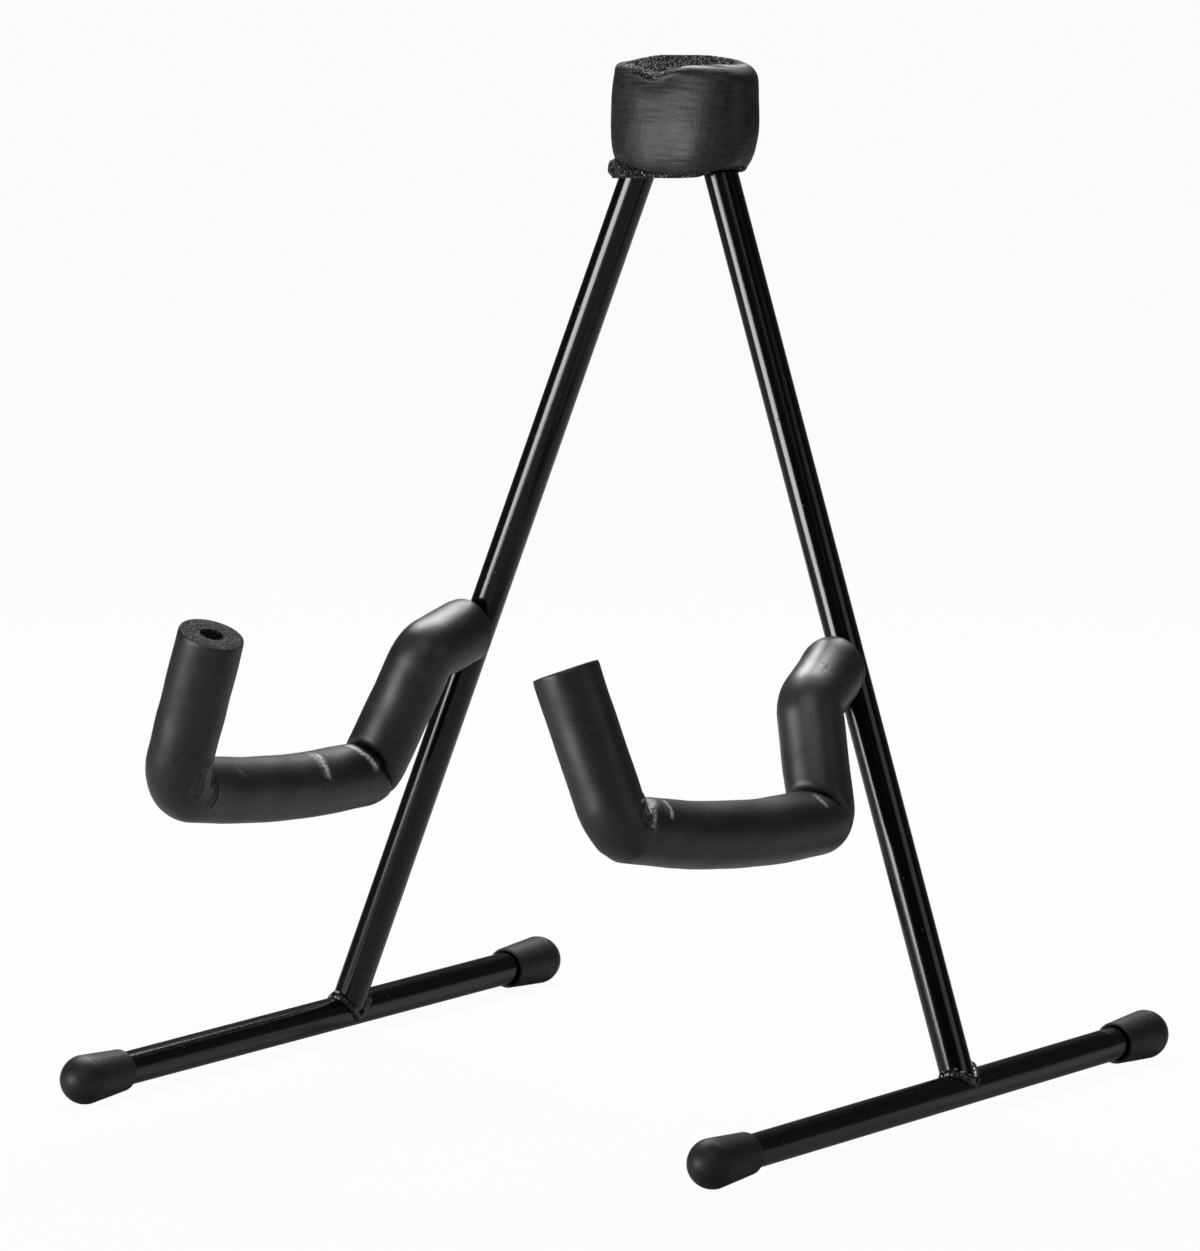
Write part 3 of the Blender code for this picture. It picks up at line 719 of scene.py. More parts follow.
@dataclass
class SteelTubes(SidePart):
    """Upright and foot tube of one side frame."""

    sides: int = 96
    row: float = 0.006
    rim: float = 0.00025
    sink: float = 0.0002
    cope_fade: float = 0.03
    foot_inset: float = 0.0038

    def wall(self, bottom: float, top: float) -> Array:
        """Wall of a tube, its rims rounded by a small chamfer.

        Args:
            bottom: Height of its lower end.
            top: Height of its upper end.

        Returns:
            Rings that run up the outside and down the bore.
        """
        outer = SIZES.tube_radius
        bore = outer - SIZES.tube_wall
        stops = [(outer, bottom + self.rim), (outer, top - self.rim), (outer - self.rim, top),
                 (bore + self.rim, top), (bore, top - self.rim), (bore, bottom + self.rim),
                 (bore + self.rim, bottom), (outer - self.rim, bottom)]
        return turned(spaced([*stops, stops[0]], self.row)[:-1], self.sides)

    def upright(self) -> None:
        """Upright tube, its foot shaped to the round foot tube.

        At the foot each point's height is where the tube's own line meets the foot tube:
        (sqrt(R^2 - x^2) + y sin(lean)) / cos(lean); higher up the shift fades out.
        """
        lean = SIZES.upright_lean
        rings = self.wall(0.0, SIZES.leg_length + SIZES.tube_top_margin)
        across, back, up = np.moveaxis(rings, -1, 0)
        seat = SIZES.tube_radius - self.sink
        rise = np.sqrt(np.clip(seat**2 - across**2, 0.0, None)) + back * math.sin(lean)
        rings[..., 2] += rise / math.cos(lean) * (1.0 - smoothstep(0.0, self.cope_fade, up))
        self.dress(self.piece("upright", leaned(rings, lean)), "upright_tube", POWDER_COAT)

    def foot(self) -> None:
        """Foot tube, which ends inside its two caps."""
        rings = self.wall(self.foot_inset - SIZES.foot_rear, SIZES.foot_front - self.foot_inset)
        laid = stacked(rings[..., 0], -rings[..., 2], rings[..., 1])
        self.dress(self.piece("foot", laid), "foot_tube", POWDER_COAT)

    def build(self) -> None:
        """Build both tubes."""
        self.upright()
        self.foot()


@dataclass(frozen=True)
class Lump:
    """Blob of weld: degrees round the joint, width in degrees and height in millimetres."""

    angle: float
    width: float
    height: float


@dataclass
class WeldBead(SidePart):
    """Bead of weld round the foot of an upright.

    Its line is where a tube of the seat's radius leaves another one; its section is a circle
    whose radius swells with ripples, lumps and a little noise.
    """

    blobs: tuple[Lump, ...]
    seed: int
    seat: float = 0.0051
    radius: float = 0.0014
    side_share: float = 0.72
    steps: int = 220
    sides: int = 24
    ripples: int = 26
    ripple: float = 0.03
    unevenness: float = 0.14
    uneven_size: float = 0.0042
    pitting: float = 0.03 * MM
    pit_size: float = 0.0020

    def line(self, angle: Array) -> Array:
        """Line of the bead in the upright's own frame, at angles round it."""
        lean = SIZES.upright_lean
        across, back = self.seat * np.cos(angle), self.seat * np.sin(angle)
        rise = np.sqrt(np.clip(self.seat**2 - across**2, 0.0, None))
        return stacked(across, back, (rise + back * math.sin(lean)) / math.cos(lean))

    def swell(self, angle: Array, line: Array) -> Array:
        """Size of the bead's section: fuller at the front and back than at the sides.

        Args:
            angle: Angles round the upright.
            line: Points of the bead's line.

        Returns:
            The section's radius as a share of its nominal one.
        """
        facing = np.abs(np.sin(angle))
        swell = self.side_share + (1.0 - self.side_share) * facing**1.5
        swell += self.ripple * np.cos(self.ripples * angle) * facing
        swell += self.unevenness * lumps(line, self.uneven_size, self.seed)
        for blob in self.blobs:
            gap = wrapped(angle - math.radians(blob.angle))
            swell += blob.height * MM / self.radius * bell(gap, math.radians(blob.width))
        return swell

    def build(self) -> None:
        """Build the bead."""
        angle, turn = circle(self.steps), circle(self.sides)[:, None]
        line = self.line(angle)
        ahead = unit(np.roll(line, -1, axis=0) - np.roll(line, 1, axis=0))
        outward = line * FLAT
        outward = unit(outward - (outward * ahead).sum(axis=1, keepdims=True) * ahead)
        upward = np.cross(outward, ahead)
        ring = np.cos(turn) * outward[:, None, :] + np.sin(turn) * upward[:, None, :]
        rings = line[:, None, :] + ring * (self.radius * self.swell(angle, line))[:, None, None]
        pits = self.pitting * lumps(rings, self.pit_size, self.seed + 1)
        rings += ring * pits[..., None]
        piece = self.piece("foot_weld_bead", leaned(rings, SIZES.upright_lean))
        self.dress(piece, "foot_weld", WELD_COAT)


# Rubber caps


@dataclass
class RubberCap(SidePart):
    """Rubber cap on one end of a foot tube: a slim cone with a domed end and a rolled mouth."""

    forward: bool
    seed: int
    radius: float = 0.00735
    mouth: float = 0.0062
    bore: float = 0.0053
    cone: float = 0.0175
    dome: float = 0.0075
    end_wall: float = 0.0035
    crease: float = 0.00016
    lip_length: float = 0.00055
    lip_swell: float = 0.0001
    wave: float = 0.12 * MM
    wave_size: float = 0.012
    wave_fade: float = 0.004
    sides: int = 96

    def profile(self) -> Array:
        """Wall from the dome's tip to the mouth and up the bore to its end."""
        angle = np.linspace(math.radians(87.0), 0.0, 26)
        dome = stacked(self.radius * np.cos(angle), self.cone + self.dome * np.sin(angle) ** 1.12)
        height = np.linspace(self.cone, 0.0009, 40)[1:]
        waist = self.mouth + (self.radius - self.mouth) * (height / self.cone) ** 0.9
        waist -= self.crease * bell(height - self.cone + 0.0006, 0.00035)
        turn = np.linspace(0.0, math.pi, 10)
        lip_radius = (self.mouth - self.bore) / 2.0 + self.lip_swell
        lip = stacked((self.mouth + self.bore) / 2.0 + lip_radius * np.cos(turn),
                      self.lip_length * (1.0 - np.sin(turn)))
        end = self.cone + self.dome - self.end_wall
        bore = [(self.bore, 0.004), (self.bore, end - 0.0003), (self.bore - 0.0003, end),
                (0.001, end)]
        return np.concatenate([dome, stacked(waist, height), lip, bore])

    def build(self) -> None:
        """Build the cap and press its lowest part flat on the floor."""
        rings = turned(self.profile(), self.sides)
        across, out, height = np.moveaxis(rings, -1, 0)
        wave = self.wave * lumps(rings, self.wave_size, self.seed)
        wave *= np.exp(-height / self.wave_fade)
        end, way, reach = (("front", -1.0, SIZES.foot_front) if self.forward
                           else ("rear", 1.0, SIZES.foot_rear))
        mouth = reach - self.cone - self.dome
        placed = in_side_frame(self.side, stacked(across, way * (mouth + height + wave), out))
        placed[..., 2] = np.maximum(placed[..., 2], 0.0)
        self.dress(shell(f"{self.side.word}_{end}_rubber_cap", placed), f"{end}_cap", CAP_RUBBER)


# Hooks


@dataclass(frozen=True)
class HookPath:
    """Centre line of a hook in its side frame: straight runs between corners, and round bends.

    Its heading is constant along a run and grows evenly along a bend, and its points are the
    running sum of the heading. The corners are (forward, up) from the upright's foot.
    """

    corners: Table
    radii: tuple[float, ...]
    rod_height: float = 0.1292
    spacing: float = 0.0004
    weld_gap: float = 0.0001

    @property
    def root(self) -> Array:
        """Where the neck's line meets the upright's axis."""
        return np.array([-self.rod_height * math.tan(SIZES.upright_lean), self.rod_height])

    def stations(self) -> tuple[Array, Array]:
        """Lengths along the path where its heading starts or stops turning, and the headings."""
        ahead = np.diff(np.vstack([self.root, self.corners]), axis=0)
        rise = np.arctan2(ahead[:, 1], ahead[:, 0])
        turn = np.abs(np.diff(rise))
        radii = np.array(self.radii)
        cut = radii * np.tan(turn / 2.0)
        straight = np.linalg.norm(ahead, axis=1) - np.append(cut, 0.0) - np.append(0.0, cut)
        steps = np.empty(2 * len(ahead) - 1)
        steps[0::2], steps[1::2] = straight, radii * turn
        return np.concatenate([[0.0], np.cumsum(steps)]), np.repeat(rise, 2)

    def bends(self) -> Array:
        """Length along the path at the middle of each bend."""
        lengths, _ = self.stations()
        return (lengths[1:-1:2] + lengths[2:-1:2]) / 2.0

    def trace(self, along: Array) -> tuple[Array, Array]:
        """Follow the path: the running sum of the unit vectors along its heading.

        Args:
            along: Lengths along the path.

        Returns:
            Points (forward, up) and headings there.
        """
        lengths, headings = self.stations()
        fine = np.linspace(0.0, lengths[-1], 8001)
        angle = np.interp(fine, lengths, headings)
        step = stacked(np.cos(angle), np.sin(angle))
        middle = (step[1:] + step[:-1]) / 2.0 * np.diff(fine)[:, None]
        line = self.root + np.concatenate([np.zeros((1, 2)), np.cumsum(middle, axis=0)])
        points = stacked(*(np.interp(along, fine, line[:, axis]) for axis in range(2)))
        return points, np.interp(along, lengths, headings)

    def steps(self, start: float, recess: float) -> Array:
        """Even lengths from the start to a little short of the end."""
        end = self.stations()[0][-1] - recess
        return np.linspace(start, end, round((end - start) / self.spacing) + 1)

    def neck_start(self, radius: float) -> float:
        """Where a sleeve of this radius, cut square, touches the upright with its lower rim.

        That is (tube radius + radius sin(a)) / cos(a), with the angle a between the neck and a
        line square to the upright.
        """
        angle = SIZES.upright_lean - self.stations()[1][0]
        return (SIZES.tube_radius + self.weld_gap + radius * math.sin(angle)) / math.cos(angle)


def swept(points: Array, heading: Array, radius: Array, angle: Array) -> Array:
    """Rings carried along a path: point + r cos(a) * normal + r sin(a) * the plane's own normal.

    Args:
        points: Path points (forward, up).
        heading: Angle of the path at each point.
        radius: Radius of each ring, or of each of its points.
        angle: Angles round the ring, 0 towards the inside of the hook and 90 degrees at +X.

    Returns:
        Rings of points (across, back, up) in the side frame.
    """
    normal = stacked(-np.sin(heading), np.cos(heading))
    flat = points[:, None, :] + (radius * np.cos(angle))[..., None] * normal[:, None, :]
    return stacked(radius * np.sin(angle), -flat[..., 0], flat[..., 1])


class Bend(Enum):
    """The bends of a hook, from the upright on."""

    NECK = 0
    ELBOW = 1
    DROP = 2
    BOW = 3
    TIP = 4


@dataclass(frozen=True)
class Crease:
    """Deep fold of the foam on the inside of a bend, in the plane that halves the bend.

    Its section is two round lips that meet in a sharp line. On the bend's outside the foam
    stands up in a blunt nose. Sizes are in millimetres, and its reach round the sleeve in degrees.
    """

    bend: Bend
    depth: float
    half_width: float
    reach: float
    nose: float = 0.0


@dataclass(frozen=True)
class Wrinkle:
    """Shallow line pressed into the foam's skin, and pale lines: whitish scuffs, and a painted
    highlight on the left drop crease's lip.

    Its line runs through (degrees round the sleeve, millimetres from the bend's middle), and its
    sizes are in millimetres.
    """

    bend: Bend
    line: Table
    depth: float
    half_width: float
    ridge: float = 0.0
    mark: float = 0.0
    mark_width: float = 0.4


@dataclass
class Hook(SidePart):
    """Bent rod and foam sleeve of one side frame."""

    path: HookPath
    creases: tuple[Crease, ...]
    wrinkles: tuple[Wrinkle, ...]
    shine: float
    seed: int
    radius: float = 0.0098
    bore: float = 0.0035
    rod_start: float = 0.0046
    rod_recess: float = 0.009
    rod_sides: int = 32
    sides: int = 120
    unevenness: float = 0.00010
    uneven_size: float = 0.017
    ripple_size: float = 0.006
    end_dish: float = 0.25 * MM
    end_round: float = 0.25 * MM
    end_reach: float = 0.35 * MM
    nose_width: float = 0.0042
    seam: float = 0.00002
    near: float = 0.025
    shine_reach: float = 0.02
    shine_turn: float = math.radians(10.0)

    def past_plane(self, rings: Array, along: Array,
                   bend: Bend) -> tuple[Array, Array, Array, float]:
        """How far each point lies from a bend's halving plane, on its own ring's side of it.

        Args:
            rings: Points (across, back, up) in the side frame.
            along: Length along the path of each ring.
            bend: Which bend.

        Returns:
            Distances, negative where a point has crossed, the side of each ring, the plane's
            normal (forward, up) and the sign of the bend's turn.
        """
        middle = self.path.bends()[bend.value]
        first, last = self.path.stations()[1][2 * bend.value + 1:2 * bend.value + 3]
        sign = math.copysign(1.0, last - first)
        point, heading = self.path.trace(np.array([middle]))
        normal = np.array([math.cos(heading[0]), math.sin(heading[0])])
        inward = sign * np.array([-normal[1], normal[0]])
        centre = point[0] + inward * self.path.radii[bend.value]
        own = np.where(along < middle, -1.0, 1.0)[:, None]
        away = ((stacked(-rings[..., 1], rings[..., 2]) - centre) @ normal) * own
        close = np.abs(along - middle)[:, None] < self.near
        return np.where(close, away, 1.0), own, normal, sign

    def kept_apart(self, rings: Array, along: Array) -> Array:
        """Rings whose points stop at each bend's halving plane, so that the two sides meet.

        Args:
            rings: Points (across, back, up) in the side frame.
            along: Length along the path of each ring.

        Returns:
            The rings, each point that had crossed a plane pushed back square to it.
        """
        for bend in Bend:
            away, own, normal, _ = self.past_plane(rings, along, bend)
            push = np.clip(self.seam - away, 0.0, None) * own
            rings = rings + push[..., None] * np.array([0.0, -normal[0], normal[1]])
        return rings

    def line_gap(self, wrinkle: Wrinkle, along: Array, angle: Array) -> Array:
        """Distance from a wrinkle's line on the unrolled skin: the least over its segments.

        Args:
            wrinkle: The wrinkle.
            along: Length along the path of each ring.
            angle: Angle round the ring.

        Returns:
            Distances in metres.
        """
        middle = self.path.bends()[wrinkle.bend.value]
        place = stacked(wrapped(angle) * self.radius, along[:, None] - middle)
        stops = np.array(wrinkle.line) * np.array([math.radians(1.0) * self.radius, MM])
        gap = np.full(place.shape[:2], 1.0)
        for start, end in zip(stops[:-1], stops[1:]):
            way = end - start
            share = np.clip(((place - start) @ way) / (way @ way), 0.0, 1.0)
            gap = np.minimum(gap, np.linalg.norm(place - start - share[..., None] * way, axis=-1))
        return gap

    def relief(self, plain: Array, along: Array, angle: Array) -> tuple[Array, Array]:
        """How far the foam stands in or out, and how pale it is.

        Args:
            plain: The round sleeve's rings.
            along: Length along the path of each ring.
            angle: Angle round the ring.

        Returns:
            Relief in metres and pale lines from 0 to 1, one of them a painted highlight.
        """
        relief, marks_and_highlights = np.zeros((2, *plain.shape[:2]))
        for crease in self.creases:
            away, _, _, sign = self.past_plane(plain, along, crease.bend)
            turn = np.abs(wrapped(angle - (0.0 if sign > 0.0 else math.pi)))
            outside = np.clip(-np.cos(turn), 0.0, 1.0) ** 1.5
            relief += crease.nose * MM * bell(away, self.nose_width) * outside
            reach = math.radians(crease.reach)
            weight = 1.0 - smoothstep(0.45 * reach, reach, turn)
            relief -= crease.depth * MM * weight * groove(away, crease.half_width * MM)
        for wrinkle in self.wrinkles:
            gap = self.line_gap(wrinkle, along, angle) / MM
            relief -= wrinkle.depth * MM * groove(gap, wrinkle.half_width)
            swell = bell(gap - wrinkle.half_width, 0.6 * wrinkle.half_width)
            relief += wrinkle.ridge * MM * swell
            marks_and_highlights += wrinkle.mark * bell(gap, wrinkle.mark_width)
        return relief, marks_and_highlights

    def stretch(self, along: Array, angle: Array) -> Array:
        """How far the skin is stretched at the elbow: a bell along it, most on its outside."""
        away = (along - self.path.bends()[Bend.ELBOW.value])[:, None]
        outside = 0.5 + 0.5 * np.cos(angle - self.shine_turn)
        return self.shine * bell(away, self.shine_reach) * outside

    def cut_end(self, point: Array, heading: float, rim: Array, angle: Array, way: float) -> Array:
        """Rings of a cut end from its rim to the bore, slightly proud of the path's end.

        Args:
            point: End of the path.
            heading: Angle of the path there.
            rim: Radius of the skin's last ring.
            angle: Angle round the ring.
            way: 1 at the tip and -1 at the neck.

        Returns:
            The rings, in the side frame.
        """
        steps = np.linspace(0.96, 0.0, 14)[:, None]
        shift = way * self.end_dish * np.sin(math.pi * steps)
        return swept(point + shift * np.array([[math.cos(heading), math.sin(heading)]]),
                     np.full(len(steps), heading), self.bore + (rim - self.bore) * steps, angle)

    def sleeve(self) -> None:
        """Foam sleeve: a skin, two cut ends and the bore, joined in one closed ring of rings."""
        along = self.path.steps(self.path.neck_start(self.radius), 0.0)
        points, heading = self.path.trace(along)
        angle = circle(self.sides)[None, :]
        plain = swept(points, heading, np.full((len(along), 1), self.radius), angle)
        relief, marks_and_highlights = self.relief(plain, along, angle)
        relief += self.unevenness * lumps(plain, self.uneven_size, self.seed)
        relief += 0.15 * self.unevenness * lumps(plain, self.ripple_size, self.seed + 1)
        to_end = np.minimum(along - along[0], along[-1] - along)[:, None]
        relief -= self.end_round * np.exp(-to_end / self.end_reach)
        radius = self.radius + relief
        skin = self.kept_apart(swept(points, heading, radius, angle), along)
        tip = self.cut_end(points[-1], heading[-1], radius[-1:], angle, 1.0)
        neck = self.cut_end(points[0], heading[0], radius[:1], angle, -1.0)[::-1]
        back = slice(-4, 3, -8)
        bore = swept(points[back], heading[back], np.full((len(along[back]), 1), self.bore), angle)
        rings = np.concatenate([skin, tip, bore, neck])
        piece = self.piece("foam_sleeve", rings)
        for name, on_skin in (("mark", marks_and_highlights), ("stretch", self.stretch(along, angle))):
            values = np.zeros(len(piece.data.vertices))
            values[:on_skin.size] = on_skin.ravel()
            piece.data.attributes.new(name, "FLOAT", "POINT").data.foreach_set("value", values)
        cut = np.repeat(np.arange(len(rings)), self.sides) >= len(skin) - 1
        self.dress(piece, "hook_sleeve", FOAM_SKIN, FOAM_CUT, choice=cut, fill=0.9)

    def rod(self) -> None:
        """Bent steel rod inside the sleeve, its foot shaped to the upright."""
        along = self.path.steps(self.rod_start, self.rod_recess)
        along = along[np.append(np.arange(0, len(along) - 1, 3), len(along) - 1)]
        points, heading = self.path.trace(along)
        radius = np.full((len(along), 1), SIZES.rod_radius)
        radius[-1] -= 0.4 * MM
        rings = swept(points, heading, radius, circle(self.rod_sides)[None, :])
        seat = np.sqrt(SIZES.tube_radius**2 - rings[0, :, 0] ** 2) - SIZES.tube_radius
        rings[0, :, 1] -= seat + 0.2 * MM
        self.dress(self.piece("bent_rod", rings, closed=False), "hook_rod", POWDER_COAT)

    def build(self) -> None:
        """Build the rod and its sleeve."""
        self.rod()
        self.sleeve()


# Hinge and cuff


@dataclass
class HingeRivets:
    """The two rivets that the side frames turn on."""

    radius: float = 0.0025
    head_radius: float = 0.0043
    head_height: float = 0.0016
    half_grip: float = 0.0071
    edge: float = 0.0002
    sides: int = 48

    def profile(self) -> Array:
        """Low round head, shank and second head."""
        angle = np.linspace(math.radians(4.0), math.pi / 2.0, 14)
        head = stacked(self.head_radius * np.sin(angle),
                       self.half_grip + self.head_height * np.cos(angle))
        under = [(self.head_radius - self.edge, self.half_grip), (self.radius, self.half_grip)]
        upper = np.concatenate([head, under])
        return np.concatenate([upper, upper[::-1] * np.array([1.0, -1.0])])

    def build(self) -> None:
        """Build both rivets."""
        rings = turned(self.profile(), self.sides)
        for side in Side:
            laid = stacked(rings[..., 0] + side.value * SIZES.pin.x, rings[..., 2], rings[..., 1])
            piece = shell(f"{side.word}_rivet", in_hinge(laid))
            dress(piece, "hinge", f"{side.word}_hinge_rivet", ZINC_PLATE)


def oblong(angle: Array, power: float | Array) -> tuple[Array, Array]:
    """Rounded oblong |x|^p + |y|^p = 1, of half width and half depth 1, as x and y at an angle."""
    turn = (np.cos(angle), np.sin(angle))
    x, y = (np.sign(part) * np.abs(part) ** (2.0 / power) for part in turn)
    return x, y


@dataclass
class FoamCuff:
    """Thick foam cuff over the hinge: torn at the top and curled at its lower left edge.

    Each ring is a rounded oblong. The rings run from the middle of the cavity's ceiling down its
    wall, under the edge, up the outside and over the torn top to its middle. The tables give
    (direction in degrees, millimetres) round the cuff.
    """

    half_width: float = 0.0234
    half_depth: float = 0.0133
    shift: float = 0.0008
    power: float = 2.6
    cavity_power: float = 3.0
    cavity_width: float = 0.0167
    cavity_depth: float = 0.0094
    cavity_top: float = 0.0099
    tube_side: float = 0.0132
    heel_bottom: float = -0.0198
    middle_height: float = 0.0135
    slit: Table = ((0.0030, 0.0006), (0.0165, -0.0024))
    slit_depth: float = 0.003
    dent_below: float = 0.0026
    wave: float = 0.15 * MM
    line_depth: float = 0.022 * MM
    curl_rough: float = 0.20 * MM
    tear_coarse: float = 0.34 * MM
    tear_fine: float = 0.26 * MM
    sides: int = 360
    seed: int = 41
    rim: Table = ((0, 13.5), (41, 13.9), (69, 14.7), (89, 15.1), (112, 14.7), (133, 14.4),
                  (165, 12.9), (180, 12.3), (215, 12.1), (250, 11.3), (255, 10.8), (262, 9.9),
                  (268, 10.1), (273, 11.7), (279, 12.3), (285, 12.7), (325, 13.4))
    rounding: Table = ((0, 5.5), (40, 4.0), (90, 2.4), (150, 1.9), (180, 1.8), (230, 1.9),
                       (262, 2.1), (290, 2.9), (320, 4.6), (345, 5.6))
    heel_start: Table = ((0, -4), (60, -9), (90, -10), (180, -9), (250, -6), (290, -5), (330, -5))
    heel: Table = ((0, 9.5), (60, 4), (90, 3), (150, 5), (180, 7.3), (230, 4.5), (260, 2.5),
                   (290, 3.2), (330, 7))
    skin_end: Table = ((0, -16.5), (90, -18.0), (150, -17.5), (180, -15.9), (215, -16.9),
                       (239, -18.0), (258, -19.2), (273, -19.6), (298, -19.0), (325, -17.2))
    bottom: Table = ((0, -17.1), (60, -19.0), (90, -19.4), (150, -20.2), (175, -22.0),
                     (200, -22.4), (225, -22.0), (258, -21.3), (273, -20.8), (298, -20.0),
                     (320, -17.7))
    bulge: Table = ((0, 0.2), (90, 0.2), (150, 0.8), (175, 2.2), (205, 2.5), (232, 1.7),
                    (255, 0.7), (275, 0.3), (330, 0.2))
    notch: Table = ((172, 0.0), (184, 1.1), (215, 1.4), (241, 1.6), (247, 2.3), (257, 2.5),
                    (266, 1.7), (275, 0.8), (284, 0.0))
    dent: Table = ((215, 0.0), (235, 0.6), (262, 0.7), (275, 0.4), (288, 0.0))

    @cached_property
    def turns(self) -> Array:
        """Angles whose points lie evenly along the outer oblong."""
        fine = np.linspace(0.0, FULL_TURN, 7201)
        x, y = oblong(fine, self.power)
        line = stacked(x * self.half_width, y * self.half_depth)
        length = np.append(0.0, np.cumsum(np.linalg.norm(np.diff(line, axis=0), axis=1)))
        return np.interp(np.arange(self.sides) * length[-1] / self.sides, length, fine)

    def ring(self, width: Array, depth: Array, height: Array, power: float | Array,
             shift: float = 0.0) -> Array:
        """Rounded oblong rings, their half widths, half depths and heights given by point."""
        x, y = oblong(self.turns[None, :], power)
        return stacked(x * width + shift, y * depth, height)

    def table(self, stops: Table, softness: float = 4.0) -> Array:
        """Read a table at each point round the cuff, smoothed by a bell.

        Args:
            stops: Directions in degrees and values in millimetres.
            softness: Width of the bell, in points.

        Returns:
            The values in metres, as one row.
        """
        angle, value = np.array(stops, dtype=float).T
        plain = np.interp(np.degrees(self.turns), angle, value, period=360.0)
        weights = bell(np.arange(-16, 17), softness)
        padded = np.concatenate([plain[-16:], plain, plain[:16]])
        return np.convolve(padded, weights / weights.sum(), "valid")[None, :] * MM

    def cavity_half(self, height: Array) -> Array:
        """Half width of the cavity: straight above, and wider below to clear the tubes."""
        flared = self.tube_side + math.tan(SIZES.spread) * np.abs(height)
        return np.maximum(self.cavity_width, flared)

    def inside(self) -> Array:
        """Cavity from the middle of its ceiling down to its mouth."""
        share = np.array([0.05, 0.5, 0.85, 0.97])[:, None]
        ceiling = self.ring(self.cavity_width * share, self.cavity_depth * share,
                            self.cavity_top, self.cavity_power)
        levels = np.array([9.3, 5.0, 0.0, -5.0, -9.5, -12.0, -14.5, -16.5])[:, None] * MM
        walls, mouth = (self.ring(self.cavity_half(height), self.cavity_depth, height,
                                  self.cavity_power)
                        for height in (levels, self.table(self.bottom) + 0.4 * MM))
        return np.concatenate([ceiling, walls, mouth])

    def outer(self, inset: Array, height: Array, least: float = 0.6 * MM) -> Array:
        """Outer rings, kept outside the cavity.

        Args:
            inset: How far the points lie inside the cuff's nominal outline.
            height: Their heights.
            least: Least thickness of the wall.

        Returns:
            The rings, in the hinge's frame.
        """
        margin = least - self.shift * np.cos(self.turns)[None, :]
        width = np.maximum(self.half_width - inset, self.cavity_half(height) + margin)
        depth = np.maximum(self.half_depth - inset, self.cavity_depth + least)
        return self.ring(width, depth, height, self.power, self.shift)

    def tuck(self, height: Array) -> Array:
        """Inset of the wall: rounded in like an ellipse at the heel, and slightly at the top."""
        start = self.table(self.heel_start)
        heel = self.table(self.heel) * groove(height - self.heel_bottom, start - self.heel_bottom)
        above = np.clip(height + 3.0 * MM, 0.0, None) / (12.0 * MM)
        return heel + 0.45 * MM * above**2

    def curl(self) -> Array:
        """Raw foam below the skin, rolled outwards at the lower left, from its lowest edge up."""
        share = np.linspace(1.0, 0.0, 26)[:, None]
        end, bottom = self.table(self.skin_end), self.table(self.bottom)
        height = end + (bottom - end) * (1.0 - np.cos(math.pi * share)) / 2.0
        out = self.table(self.bulge) * np.sin(math.pi * share) - 0.9 * MM * share
        out -= 0.45 * MM * bell(share - 0.06, 0.06)
        return self.outer(self.tuck(end) - out, height, 0.35 * MM)

    def wall(self) -> Array:
        """Skin from its lower end up to the shoulder."""
        share = np.linspace(0.0, 1.0, 90)[1:-1, None]
        end = self.table(self.skin_end)
        top = self.table(self.rim) - 1.1 * self.table(self.rounding)
        height = end + (top - end) * share
        return self.outer(self.tuck(height), height)

    def shoulder(self) -> Array:
        """Skin over the rounded shoulder up to the rim, an ellipse in section."""
        turn = np.linspace(math.pi / 2.0, 0.0, 20)[:, None]
        rounding = self.table(self.rounding)
        height = self.table(self.rim) - 1.1 * rounding * (1.0 - np.cos(turn))
        return self.outer(rounding * (1.0 - np.sin(turn)) + self.tuck(height), height)

    def torn_top(self) -> Array:
        """Torn upper face from the rim to its middle, rough all over, with a slit across it."""
        share = np.linspace(1.0, 0.02, 56)[1:, None]
        rim = self.table(self.rim)
        inset = self.table(self.rounding) + self.tuck(rim)
        height = self.middle_height + (rim - self.middle_height) * share
        height = height - 0.5 * MM * np.sin(math.pi * share) ** 0.7
        rings = self.ring((self.half_width - inset) * share, (self.half_depth - inset) * share,
                          height, self.power - 0.3 * (1.0 - share), self.shift)
        rough = self.tear_coarse * lumps(rings, 0.0021, self.seed, 40)
        rough += self.tear_fine * lumps(rings, 0.0010, self.seed + 1, 40)
        rings[..., 2] += rough * np.clip((1.0 - share) / 0.12, 0.15, 1.0)
        start, end = np.array(self.slit)
        way = end - start
        along = np.clip(((rings[..., :2] - start) @ way) / (way @ way), 0.0, 1.0)
        gap = np.linalg.norm(rings[..., :2] - start - along[..., None] * way, axis=-1)
        rings[..., 2] -= self.slit_depth * bell(gap, MM)
        return rings

